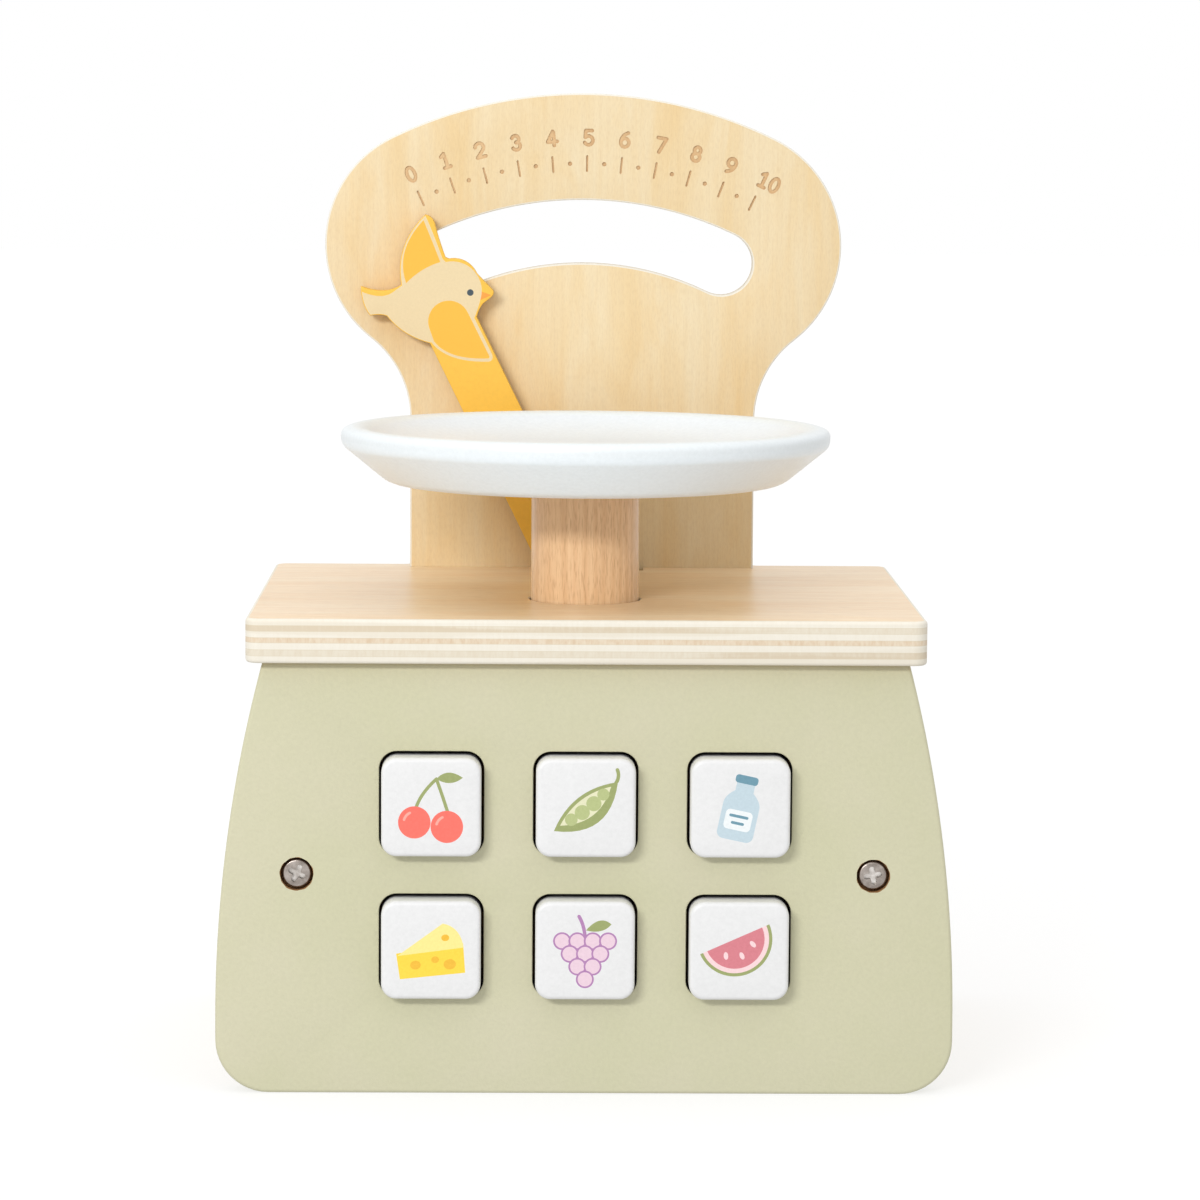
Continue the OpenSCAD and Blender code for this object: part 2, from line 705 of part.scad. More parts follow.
module button_spring(i) {
    color(STEEL) translate([BUTTON_AT[i][0], button_spring_y, BUTTON_AT[i][1]])
        rotate([-90, 0, 0])
            coil(button_spring_r, button_spring_wire, button_spring_l, button_spring_turns);
}

module front_screws() {
    color(STEEL) for (s = [-1, 1])
        translate([s * side_mid_x, panel_y + panel_counterbore, field_z])
            rotate([-90, 0, 0]) screw(panel_screw_l);
}

module rear_screws() {
    color(STEEL) for (s = [-1, 1])
        translate([s * side_mid_x, rear_y - rear_counterbore, field_z])
            rotate([90, 0, 0]) screw(rear_screw_l);
}

module base_screws() {
    color(STEEL) for (s = [-1, 1], y = base_screw_y)
        translate([s * side_mid_x, y, base_lift + base_counterbore]) screw(base_screw_l);
}

// Locating dowels along Y between the side boards and the board at y0
module dowels_y(y0) {
    color(BEECH) for (s = [-1, 1], z = [-1, 1])
        rod_y([s * side_mid_x, field_z + z * dowel_spread_z], y0 + glue_gap,
              y0 + dowel_l - glue_gap, dowel_d);
}

module plate_dowels() {
    color(BEECH) for (s = [-1, 1], y = plate_dowel_y)
        translate([s * side_mid_x, y, body_h + plate_dowel_in - dowel_l + glue_gap])
            cylinder(d = dowel_d, h = dowel_l - 2 * glue_gap);
}

front_panel();
back_board();
side_board(-1);  // left_side
side_board(1);  // right_side
top_plate();
base_board();
button_backer();
dish();
pillar();
drive_arm();
arm_screw();
drive_pin();
pointer();
pivot_screw();
pivot_washer();
guide_peg();
dish_spring();
front_screws();
rear_screws();
base_screws();
dowels_y(panel_rear_y - panel_dowel_in);  // front_dowels
dowels_y(dial_y + rear_dowel_in - dowel_l);  // rear_dowels
plate_dowels();
for (i = [0 : button_count - 1]) {
    button_cap(i);
    button_flange(i);
    button_spring(i);
}

echo(pointer_turn_deg = pointer_turn, pivot_z = pivot_z, crown_top_z = crown_centre_z + crown_r);
echo(dish_spring_gap = coil_gap(dish_spring_r, dish_spring_wire, dish_spring_l, dish_spring_turns));
echo(button_spring_gap =
    coil_gap(button_spring_r, button_spring_wire, button_spring_l, button_spring_turns));
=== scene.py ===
"""Looks of a wooden toy shop scale, built round its packed construction.

Lengths are millimetres in the construction's own frame: +X to the right, +Y away from the
front, +Z up. They become metres only where a mesh, a light or the camera is made.
"""

import json
import logging
import math
from collections.abc import Callable, Iterable, Sequence
from dataclasses import dataclass
from enum import Enum

import bmesh
import bpy
from mathutils import Matrix, Vector
from mathutils.geometry import delaunay_2d_cdt


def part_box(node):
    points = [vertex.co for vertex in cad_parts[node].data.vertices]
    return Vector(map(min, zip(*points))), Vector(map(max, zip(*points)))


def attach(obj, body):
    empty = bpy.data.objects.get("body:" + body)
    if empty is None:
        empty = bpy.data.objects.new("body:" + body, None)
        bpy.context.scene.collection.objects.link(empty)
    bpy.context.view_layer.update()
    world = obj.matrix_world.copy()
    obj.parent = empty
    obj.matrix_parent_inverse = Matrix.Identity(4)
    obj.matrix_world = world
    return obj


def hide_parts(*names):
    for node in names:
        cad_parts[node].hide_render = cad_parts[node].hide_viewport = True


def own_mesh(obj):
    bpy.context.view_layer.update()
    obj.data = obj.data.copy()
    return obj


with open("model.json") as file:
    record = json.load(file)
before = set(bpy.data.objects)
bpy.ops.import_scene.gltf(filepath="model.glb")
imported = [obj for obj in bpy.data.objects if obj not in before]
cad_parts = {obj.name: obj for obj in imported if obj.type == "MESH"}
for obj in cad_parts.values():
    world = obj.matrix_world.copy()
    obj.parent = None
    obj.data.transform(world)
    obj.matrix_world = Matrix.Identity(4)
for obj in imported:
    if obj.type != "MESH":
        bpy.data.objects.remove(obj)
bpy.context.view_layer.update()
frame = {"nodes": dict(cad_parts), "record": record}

Colour = tuple[int, int, int]
Point = tuple[float, float]
Triple = tuple[float, float, float]
Light = tuple[float, float, float, float]
Material = bpy.types.Material
SceneObject = bpy.types.Object
Socket = bpy.types.NodeSocket
Source = float | Triple | Socket
Vertex = bmesh.types.BMVert

LOG = logging.getLogger("toy_shop_scale")
MM = 0.001
SAME_POINT = 0.002
MERGE_DISTANCE = 1e-5
TRIANGLES_TO_HULL = 0
LEAST_MITRE = 0.6
REFLECTANCE = 0.92
CONTRAST = 1.15
WHITE: Colour = (255, 255, 255)


class Axis(Enum):
    """An axis of the frame, as its place in a list of coordinates."""

    X = 0
    Y = 1
    Z = 2

    def picked(self, along: float, across: float) -> Triple:
        """One value along this axis and another along both others."""
        return tuple(along if axis is self else across for axis in Axis)


class Mixing(Enum):
    """How one colour is laid over another."""

    COVER = "MIX"
    TINT = "MULTIPLY"


class Reckoning(Enum):
    """How a value is worked out from others."""

    ADD = "ADD"
    MULTIPLY = "MULTIPLY"
    MULTIPLY_ADD = "MULTIPLY_ADD"
    GREATER = "MAXIMUM"


class Facing(Enum):
    """The side from which the drawn face of a flat or turned piece is seen."""

    FRONT = "front"
    REAR = "rear"
    TOP = "top"
    UNDER = "under"

    def place(self, point: Point, depth: float, at: float) -> Vector:
        """Puts a point of a drawing into the frame.

        Args:
            point: Place on the drawing.
            depth: How far behind the drawn face the point lies.
            at: Where the drawn face stands along its own axis.

        Returns:
            The point in metres.
        """
        across, along = point
        if self is Facing.FRONT:
            spot = (across, at + depth, along)
        elif self is Facing.REAR:
            spot = (across, at - depth, along)
        elif self is Facing.TOP:
            spot = (across, along, at - depth)
        else:
            spot = (across, along, at + depth)
        return Vector(spot) * MM


@dataclass(frozen=True)
class Extent:
    """The box of a construction node at rest."""

    low: Triple
    high: Triple

    @classmethod
    def of(cls, node: str) -> "Extent":
        """Reads a node's box from the frame.

        Args:
            node: Name of the construction node.

        Returns:
            Its box in millimetres.
        """
        low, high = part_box(node)
        return cls(tuple(low / MM), tuple(high / MM))

    def middle(self, axis: Axis) -> float:
        """The box's middle along an axis."""
        return (self.low[axis.value] + self.high[axis.value]) / 2

    def size(self, axis: Axis) -> float:
        """The box's length along an axis."""
        return self.high[axis.value] - self.low[axis.value]


def polar(centre: Point, radius: float, angle: float) -> Point:
    """The point at an angle, counter-clockwise from the right, on a circle."""
    turn = math.radians(angle)
    return centre[0] + radius * math.cos(turn), centre[1] + radius * math.sin(turn)


def arc(centre: Point, radius: float, start: float, end: float, steps: int = 16) -> list[Point]:
    """Points along a circular arc.

    Args:
        centre: Centre of the circle.
        radius: Radius of the circle.
        start: Angle of the first point, in degrees.
        end: Angle of the last point, in degrees.
        steps: Number of straight steps.

    Returns:
        The points from start to end, both included.
    """
    return [polar(centre, radius, start + (end - start) * i / steps) for i in range(steps + 1)]


def bend(first: Point, control: Point, last: Point, steps: int = 12) -> list[Point]:
    """Points along a curve that leaves first and reaches last, drawn towards control.

    Args:
        first: Start of the curve.
        control: Point that pulls the curve.
        last: End of the curve.
        steps: Number of straight steps.

    Returns:
        The points from first to last, both included.
    """
    shares = [i / steps for i in range(steps + 1)]
    return [
        tuple((1 - t) ** 2 * a + 2 * t * (1 - t) * b + t * t * c
              for a, b, c in zip(first, control, last))
        for t in shares
    ]


@dataclass(frozen=True)
class Outline:
    """A closed line on a drawing, counter-clockwise."""

    points: tuple[Point, ...]

    @classmethod
    def through(cls, *stretches: Iterable[Point]) -> "Outline":
        """Joins stretches end to end, without repeated points.

        Args:
            stretches: Points in order, in either direction round the shape.

        Returns:
            The closed outline.
        """
        line = [point for stretch in stretches for point in stretch]
        kept = [p for i, p in enumerate(line) if math.dist(p, line[i - 1]) > SAME_POINT]
        doubled = sum(a[0] * b[1] - b[0] * a[1] for a, b in zip(kept, kept[1:] + kept[:1]))
        return cls(tuple(kept if doubled > 0 else reversed(kept)))

    @classmethod
    def circle(cls, centre: Point, radius: float, steps: int = 48) -> "Outline":
        """A full circle."""
        return cls.through(arc(centre, radius, 0, 360, steps))

    @classmethod
    def oval(cls, centre: Point, half_width: float, half_height: float) -> "Outline":
        """An upright or lying ellipse.

        Args:
            centre: Middle of the ellipse.
            half_width: Half its width.
            half_height: Half its height.

        Returns:
            The outline.
        """
        round_one = arc((0, 0), 1, 0, 360, 32)
        return cls.through(
            [(centre[0] + half_width * x, centre[1] + half_height * y) for x, y in round_one])

    @classmethod
    def rounded_box(cls, centre: Point, width: float, height: float, radius: float) -> "Outline":
        """A rectangle with round corners.

        Args:
            centre: Middle of the rectangle.
            width: Its width.
            height: Its height.
            radius: Radius of its corners.

        Returns:
            The outline.
        """
        corners = [(1, 1), (-1, 1), (-1, -1), (1, -1)]
        return cls.through(*(
            arc((centre[0] + x * (width / 2 - radius), centre[1] + y * (height / 2 - radius)),
                radius, 90 * i, 90 * i + 90, 10)
            for i, (x, y) in enumerate(corners)))

    @classmethod
    def ribbon(cls, path: Sequence[Point], width: float, cap_steps: int = 8) -> "Outline":
        """A band of even width along a path, with round ends.

        Args:
            path: Points of its middle line, without sharp corners.
            width: Width of the band.
            cap_steps: Straight steps round each end.

        Returns:
            The band's outline.
        """
        last = len(path) - 1
        headings = []
        for i in range(last + 1):
            before, after = path[max(i - 1, 0)], path[min(i + 1, last)]
            headings.append(math.degrees(math.atan2(after[1] - before[1], after[0] - before[0])))
        right = [polar(p, width / 2, h - 90) for p, h in zip(path, headings)]
        left = [polar(p, width / 2, h + 90) for p, h in zip(path, headings)]
        far_cap = arc(path[last], width / 2, headings[last] - 90, headings[last] + 90, cap_steps)
        near_cap = arc(path[0], width / 2, headings[0] + 90, headings[0] + 270, cap_steps)
        return cls.through(right, far_cap, reversed(left), near_cap)

    def grown(self, distance: float) -> "Outline":
        """The outline moved outwards.

        Args:
            distance: How far every side moves, negative for inwards.

        Returns:
            The moved outline.
        """
        moved = []
        count = len(self.points)
        for i, here in enumerate(self.points):
            normals = []
            for start, end in ((self.points[i - 1], here), (here, self.points[(i + 1) % count])):
                length = math.dist(start, end)
                normals.append(((end[1] - start[1]) / length, (start[0] - end[0]) / length))
            (ax, ay), (bx, by) = normals
            spread = max(1 + ax * bx + ay * by, LEAST_MITRE)
            moved.append((here[0] + distance * (ax + bx) / spread,
                          here[1] + distance * (ay + by) / spread))
        return Outline(tuple(moved))

    def placed(self, at: Point = (0, 0), turn: float = 0, size: float = 1) -> "Outline":
        """The outline scaled, turned counter-clockwise by degrees and then moved.

        Args:
            at: Where the drawing's origin goes.
            turn: Turn in degrees.
            size: Scale about the drawing's origin.

        Returns:
            The placed outline.
        """
        cos, sin = size * math.cos(math.radians(turn)), size * math.sin(math.radians(turn))
        return Outline(tuple(
            (at[0] + x * cos - y * sin, at[1] + x * sin + y * cos) for x, y in self.points))


class Tiling:
    """Triangles of a flat face that is split along every outline drawn on it."""

    def __init__(self, outlines: Sequence[Outline]) -> None:
        """Splits the plane.

        Args:
            outlines: The outlines, which may cross and overlap.
        """
        corners: list[Vector] = []
        loops = []
        for outline in outlines:
            loops.append(list(range(len(corners), len(corners) + len(outline.points))))
            corners.extend(Vector(point) for point in outline.points)
        places, _, triangles, _, _, covers = delaunay_2d_cdt(
            corners, [], loops, TRIANGLES_TO_HULL, MERGE_DISTANCE, True)
        self.points: list[Point] = [(place.x, place.y) for place in places]
        self.tiles: list[tuple[list[int], frozenset[int]]] = [
            (list(tile), frozenset(cover)) for tile, cover in zip(triangles, covers) if cover]

    def rim(self) -> Outline:
        """The outer line of all that the outlines cover together.

        Returns:
            The outline, without the holes in it.
        """
        edges = {edge for tile, _ in self.tiles for edge in zip(tile, tile[1:] + tile[:1])}
        follows = {a: b for a, b in edges if (b, a) not in edges}
        loops = []
        while follows:
            start = next(iter(follows))
            loop = [start]
            while loop[-1] in follows:
                loop.append(follows.pop(loop[-1]))
            loops.append([self.points[i] for i in loop[:-1]])
        widest = max(loops, key=lambda loop: max(p[0] for p in loop) - min(p[0] for p in loop))
        return Outline.through(widest)


@dataclass(frozen=True)
class Finish:
    """A surface finish, mixed once as a material."""

    name: str

    def material(self) -> Material:
        """The finish's material, mixed when it is first asked for."""
        return bpy.data.materials.get(self.name) or self.mixed()

    def mixed(self) -> Material:
        """Builds the material."""
        raise NotImplementedError


def linked(name: str, data: bpy.types.ID) -> SceneObject:
    """Puts a new object into the scene.

    Args:
        name: Name of the object.
        data: Its mesh, light or camera.

    Returns:
        The object.
    """
    made = bpy.data.objects.new(name, data)
    bpy.context.scene.collection.objects.link(made)
    return made


class MeshMaker:
    """Collects the faces of one piece, drawn on a plane and set back in depth."""

    def __init__(self, facing: Facing = Facing.TOP, at: float = 0) -> None:
        """Starts an empty piece.

        Args:
            facing: Side from which the drawing is seen.
            at: Where the drawn face stands along its own axis.
        """
        self.facing = facing
        self.at = at
        self.mesh = bmesh.new()
        self.finishes: list[Finish] = []

    def corner(self, point: Point, depth: float) -> Vertex:
        """Adds a vertex at a drawn point and a depth."""
        return self.mesh.verts.new(self.facing.place(point, depth, self.at))

    def face(self, corners: Sequence[Vertex], finish: Finish, smooth: bool = False) -> None:
        """Adds a face.

        Args:
            corners: Its vertices in order.
            finish: Its finish.
            smooth: Whether it shades as part of a curve.
        """
        if finish not in self.finishes:
            self.finishes.append(finish)
        made = self.mesh.faces.new(corners)
        made.material_index = self.finishes.index(finish)
        made.smooth = smooth

    def skin(self, rings: Sequence[Sequence[Vertex]], finish: Finish) -> None:
        """Joins closed rings of equal count by a skin of quads.

        Args:
            rings: Vertices of each ring, in order.
            finish: Finish of the skin.
        """
        for near, far in zip(rings, rings[1:]):
            for i in range(len(near)):
                self.face((near[i - 1], near[i], far[i], far[i - 1]), finish, True)

    def lathe(self, profile: Sequence[Point], centre: Point, finish: Finish, sides: int) -> None:
        """Turns a profile round an axis through the drawing.

        Args:
            profile: Radius and depth of each point of the profile.
            centre: Where the axis meets the drawing.
            finish: Finish of the turned face.
            sides: Number of sides.
        """
        self.skin([[self.corner(polar(centre, radius, 360 * i / sides), depth) for i in range(sides)]
                   for radius, depth in profile], finish)

    def piece(self, name: str, sharp: float = 35) -> SceneObject:
        """Welds the faces and makes the object.

        Args:
            name: Name of the piece.
            sharp: Angle in degrees above which an edge stays sharp.

        Returns:
            The new object.
        """
        bmesh.ops.remove_doubles(self.mesh, verts=self.mesh.verts, dist=SAME_POINT * MM / 2)
        bmesh.ops.dissolve_degenerate(self.mesh, edges=self.mesh.edges, dist=SAME_POINT * MM / 20)
        bmesh.ops.recalc_face_normals(self.mesh, faces=self.mesh.faces)
        data = bpy.data.meshes.new(name)
        self.mesh.to_mesh(data)
        self.mesh.free()
        data.set_sharp_from_angle(angle=math.radians(sharp))
        for finish in self.finishes:
            data.materials.append(finish.material())
        return linked(name, data)


@dataclass(frozen=True)
class Recess:
    """A shape sunk into a board's face. A later recess wins, and depth 0 leaves an island."""

    outline: Outline
    depth: float
    floor: Finish
    wall: Finish


@dataclass(frozen=True)
class Print:
    """A shape printed on a board's face. A later print lies over an earlier one."""

    outline: Outline
    ink: Finish

    def placed(self, at: Point = (0, 0), turn: float = 0, size: float = 1) -> "Print":
        """The print scaled, turned and moved as its outline is."""
        return Print(self.outline.placed(at, turn, size), self.ink)


@dataclass(frozen=True)
class Slab:
    """A board cut to an outline, with eased edges, holes, recesses and prints.

    An edge without a finish of its own takes the face's, and the wall of a hole the edge's.
    """

    outline: Outline
    thickness: float
    ease: float
    face: Finish
    edge: Finish | None = None
    hole: Finish | None = None
    holes: tuple[Outline, ...] = ()
    hole_ease: float = 0.3
    recesses: tuple[Recess, ...] = ()
    rear_recesses: tuple[Recess, ...] = ()
    prints: tuple[Print, ...] = ()
    ease_steps: int = 5
    sharp_points: int = 0

    def draw(self, maker: MeshMaker) -> None:
        """Adds the board's faces to a piece.

        Args:
            maker: The piece.
        """
        edge = self._edge_finish()
        self._side(maker, self._moved, -self.ease, edge)
        for hole in self.holes:
            self._side(maker, hole.grown, self.hole_ease, self.hole or edge)
        self._cap(maker, False)
        self._cap(maker, True)

    def _edge_finish(self) -> Finish:
        """The finish of the edges."""
        return self.edge or self.face

    def _moved(self, distance: float) -> Outline:
        """The outline moved outwards, except for the sharp points at its end."""
        eased = len(self.outline.points) - self.sharp_points
        return Outline(self.outline.grown(distance).points[:eased] + self.outline.points[eased:])

    def _side(self, maker: MeshMaker, line: Callable[[float], Outline], ease: float, wall: Finish) -> None:
        """Adds the wall along one outline, with both its eased edges.

        Args:
            maker: The piece.
            line: Gives the wall's outline moved outwards by a distance.
            ease: Radius of the edges, negative where the face lies inside the outline.
            wall: Finish of the wall between its edges.
        """
        turns = [math.radians(90 * i / self.ease_steps) for i in range(self.ease_steps + 1)]
        front = [(ease * (1 - math.sin(a)), abs(ease) * (1 - math.cos(a))) for a in turns]
        rear = [(grow, self.thickness - depth) for grow, depth in reversed(front)]
        edge = self._edge_finish()
        for band, finish in ((front, edge), ([front[-1], rear[0]], wall), (rear, edge)):
            maker.skin([[maker.corner(point, depth) for point in line(grow).points]
                        for grow, depth in band], finish)

    def _cap(self, maker: MeshMaker, rear: bool) -> None:
        """Adds the front or rear face with its recesses and prints.

        Args:
            maker: The piece.
            rear: Whether it is the rear face.
        """
        recesses = self.rear_recesses if rear else self.recesses
        prints = () if rear else self.prints
        first_recess = 1 + len(self.holes)
        first_print = first_recess + len(recesses)
        tiling = Tiling([self._moved(-self.ease),
                         *(hole.grown(self.hole_ease) for hole in self.holes),
                         *(recess.outline for recess in recesses),
                         *(mark.outline for mark in prints)])
        corners: dict[tuple[int, float], Vertex] = {}
        beside: dict[tuple[int, int], tuple[float, Finish]] = {}

        def corner(index: int, sunk: float) -> Vertex:
            """The vertex of a tile's corner, made once for each depth.

            Args:
                index: Place of the corner among the tiling's points.
                sunk: How far below the face it lies.

            Returns:
                The vertex.
            """
            if (index, sunk) not in corners:
                depth = self.thickness - sunk if rear else sunk
                corners[index, sunk] = maker.corner(tiling.points[index], depth)
            return corners[index, sunk]

        for tile, cover in tiling.tiles:
            if 0 not in cover or any(0 < i < first_recess for i in cover):
                continue
            sunk, finish, wall = 0.0, self.face, self.face
            marks = [i for i in cover if i >= first_print]
            cuts = [i for i in cover if first_recess <= i < first_print]
            if cuts:
                recess = recesses[max(cuts) - first_recess]
                sunk, finish, wall = recess.depth, recess.floor, recess.wall
            elif marks:
                finish = prints[max(marks) - first_print].ink
            maker.face([corner(i, sunk) for i in tile], finish)
            for edge in zip(tile, tile[1:] + tile[:1]):
                beside[edge] = (sunk, wall)
        for (a, b), (sunk, wall) in beside.items():
            other, _ = beside.get((b, a), (sunk, wall))
            if sunk > other:
                maker.face((corner(a, sunk), corner(b, sunk), corner(b, other), corner(a, other)),
                           wall, True)


def linear(colour: Colour) -> Light:
    """A screen colour as linear light.

    Args:
        colour: Red, green and blue, 0 to 255.

    Returns:
        The light's red, green and blue, with full alpha.
    """
    shares = [part / 255 for part in colour]
    light = [s / 12.92 if s <= 0.04045 else ((s + 0.055) / 1.055) ** 2.4 for s in shares]
    return light[0], light[1], light[2], 1.0


def pigment(colour: Colour) -> Light:
    """The share of light thrown back by a surface that shows as a screen colour in the studio's light."""
    red, green, blue = (REFLECTANCE * part ** (1 / CONTRAST) for part in linear(colour)[:3])
    return red, green, blue, 1.0


class Nodes:
    """A tree of nodes, with short calls that add to it."""

    def __init__(self, tree: bpy.types.NodeTree) -> None:
        """Takes up the tree of a material or of a world."""
        self.tree = tree

    def feed(self, source: Source, target: Socket) -> None:
        """Gives an input its value.

        Args:
            source: The value, or the socket that gives it.
            target: The input.
        """
        if isinstance(source, Socket):
            self.tree.links.new(source, target)
        else:
            target.default_value = source

    def node(self, kind: str, inputs: dict[str, Source]) -> bpy.types.Node:
        """Adds a node.

        Args:
            kind: Its type.
            inputs: The source of each named input.

        Returns:
            The node.
        """
        made = self.tree.nodes.new(kind)
        for name, source in inputs.items():
            self.feed(source, made.inputs[name])
        return made

    def reckoned(self, reckoning: Reckoning, *sources: Source) -> Socket:
        """Works out a value.

        Args:
            reckoning: How it is worked out.
            sources: What it is worked out from, in order.

        Returns:
            The value's socket.
        """
        node = self.node("ShaderNodeMath", {})
        node.operation = reckoning.value
        for source, target in zip(sources, node.inputs):
            self.feed(source, target)
        return node.outputs["Value"]


class NodeSheet(Nodes):
    """The nodes of one material, with short calls for the kinds that the finishes use."""

    def __init__(self, name: str, roughness: float, metallic: float = 0.0) -> None:
        """Starts a material.

        Args:
            name: Name of the material.
            roughness: Roughness all over.
            metallic: 1 for a metal.
        """
        self.material = bpy.data.materials.new(name)
        self.material.use_nodes = True
        super().__init__(self.material.node_tree)
        self.surface = self.tree.nodes["Principled BSDF"]
        self.surface.inputs["Roughness"].default_value = roughness
        self.surface.inputs["Metallic"].default_value = metallic
        self.place = self.node("ShaderNodeTexCoord", {}).outputs["Object"]

    def stretched(self, scale: Triple, turn: Triple = (0, 0, 0), shift: Triple = (0, 0, 0)) -> Socket:
        """The place on the piece, scaled so that a pattern runs long along an axis.

        Args:
            scale: Scale along each axis.
            turn: Turn about each axis, in degrees.
            shift: Move after the scale, in metres.

        Returns:
            The vector's socket.
        """
        radians = tuple(math.radians(angle) for angle in turn)
        node = self.node("ShaderNodeMapping", {
            "Vector": self.place, "Scale": scale, "Rotation": radians, "Location": shift})
        return node.outputs["Vector"]

    def noise(self, place: Socket, scale: float, detail: float = 2, roughness: float = 0.5,
              distortion: float = 0) -> Socket:
        """Soft random values over the piece.

        Args:
            place: Where the pattern is read.
            scale: Cells per metre.
            detail: Number of finer layers.
            roughness: Weight of the finer layers.
            distortion: How much the pattern swirls.

        Returns:
            The value's socket.
        """
        node = self.node("ShaderNodeTexNoise", {
            "Vector": place, "Scale": scale, "Detail": detail, "Roughness": roughness,
            "Distortion": distortion})
        return node.outputs[0]

    def rings(self, place: Socket, scale: float, distortion: float) -> Socket:
        """Growth rings round an axis along Z.

        Args:
            place: Where the pattern is read.
            scale: How close the rings lie.
            distortion: How much they wander.

        Returns:
            The value's socket.
        """
        node = self.node("ShaderNodeTexWave", {
            "Vector": place, "Scale": scale, "Distortion": distortion, "Detail": 2, "Detail Scale": 1.2})
        node.wave_type = "RINGS"
        node.rings_direction = "Z"
        return node.outputs["Fac"]

    def ramp(self, value: Socket, stops: Sequence[tuple[float, Colour]],
             light: Callable[[Colour], Light] = pigment) -> Socket:
        """Colours a value.

        Args:
            value: The value's socket.
            stops: Place and colour of each stop.
            light: How a colour is turned into light.

        Returns:
            The colour's socket.
        """
        node = self.node("ShaderNodeValToRGB", {"Fac": value})
        elements = node.color_ramp.elements
        elements.remove(elements[1])
        elements[0].position = stops[0][0]
        elements[0].color = light(stops[0][1])
        for at, colour in stops[1:]:
            elements.new(at).color = light(colour)
        return node.outputs["Color"]

    def veil(self, value: Socket, stops: Sequence[tuple[float, Colour]]) -> Socket:
        """Colours a value for laying over another colour, where white leaves it as it is."""
        return self.ramp(value, stops, linear)

    def blend(self, mixing: Mixing, share: Source, first: Socket, second: Socket) -> Socket:
        """Lays one colour over another.

        Args:
            mixing: How the upper colour is laid.
            share: Share of the upper colour.
            first: Colour below.
            second: Colour above.

        Returns:
            The mixed colour's socket.
        """
        node = self.node("ShaderNodeMix", {"Factor": share})
        node.data_type = "RGBA"
        node.blend_type = mixing.value
        below, above = [socket for socket in node.inputs if socket.type == "RGBA"]
        self.feed(first, below)
        self.feed(second, above)
        return next(socket for socket in node.outputs if socket.type == "RGBA")

    def spread(self, value: Socket, source: Point, target: Point) -> Socket:
        """Carries a value from one range to another.

        Args:
            value: The value's socket.
            source: The range that it comes from.
            target: The range that it goes to.

        Returns:
            The new value's socket.
        """
        node = self.node("ShaderNodeMapRange", {
            "Value": value, "From Min": source[0], "From Max": source[1],
            "To Min": target[0], "To Max": target[1]})
        return node.outputs["Result"]

    def height(self, axis: Axis, low: float, high: float) -> Socket:
        """The place between two heights along an axis, from 0 to 1.

        Args:
            axis: The axis.
            low: Where it is 0, in millimetres.
            high: Where it is 1, in millimetres.

        Returns:
            The value's socket.
        """
        node = self.node("ShaderNodeSeparateXYZ", {"Vector": self.place})
        return self.spread(node.outputs[axis.value], (low * MM, high * MM), (0, 1))

    def bump(self, height: Socket, depth: float, strength: float = 1) -> None:
        """Raises and lowers the surface.

        Args:
            height: The height's socket, 0 to 1.
            depth: What a height of 1 is worth, in millimetres.
            strength: Share of the effect.
        """
        node = self.node("ShaderNodeBump", {
            "Height": height, "Strength": strength, "Distance": depth * MM})
        self.feed(node.outputs["Normal"], self.surface.inputs["Normal"])

    def coloured(self, colour: Socket) -> Material:
        """Gives the surface its colour and returns the material."""
        self.feed(colour, self.surface.inputs["Base Color"])
        return self.material


@dataclass(frozen=True)
class Paint(Finish):
    """Satin paint on a smooth board, with a slow mottle and a finely dimpled skin."""

    colour: Colour
    shade: Colour
    roughness: float = 0.45
    dimple: float = 0.05
    light: Callable[[Colour], Light] = pigment
    mottle_scale: float = 35
    skin_scale: float = 1100
    skin_tint: Colour = (250, 250, 250)

    def tone(self, sheet: NodeSheet) -> Socket:
        """The slow mottle of the paint."""
        slow = sheet.noise(sheet.place, self.mottle_scale, detail=4, roughness=0.6)
        return sheet.ramp(slow, [(0.3, self.colour), (0.7, self.shade)], self.light)

    def mixed(self) -> Material:
        """Builds the material.

        Returns:
            The new material.
        """
        sheet = NodeSheet(self.name, self.roughness)
        skin = sheet.noise(sheet.place, self.skin_scale, detail=3, roughness=0.6)
        grain = sheet.veil(skin, [(0.3, self.skin_tint), (0.65, WHITE)])
        sheet.bump(skin, self.dimple)
        return sheet.coloured(sheet.blend(Mixing.TINT, 1, self.tone(sheet), grain))


@dataclass(frozen=True)
class RimPaint(Paint):
    """Paint darkened towards its rim: painted shade that holds back the light on the lip."""

    low: float = 0
    high: float = 0
    # Colour of the painted shade at the rim.
    worn: Colour = (239, 238, 237)

    def tone(self, sheet: NodeSheet) -> Socket:
        """The mottle of the paint under the rim's painted shade."""
        rim = sheet.veil(sheet.height(Axis.Z, self.low, self.high), [(0, WHITE), (1, self.worn)])
        return sheet.blend(Mixing.TINT, 1, super().tone(sheet), rim)


@dataclass(frozen=True)
class Ink(Finish):
    """Matt printing ink with the faint speckle of the print."""

    colour: Colour
    lift: int = 8
    roughness: float = 0.55
    speck_scale: float = 1500
    relief: float = 0.02

    def mixed(self) -> Material:
        """Builds the material.

        Returns:
            The new material.
        """
        sheet = NodeSheet(self.name, self.roughness)
        speck = sheet.noise(sheet.place, self.speck_scale, detail=3, roughness=0.7)
        lighter = tuple(min(255, part + self.lift) for part in self.colour)
        sheet.bump(speck, self.relief)
        return sheet.coloured(sheet.ramp(speck, [(0.35, self.colour), (0.7, lighter)]))


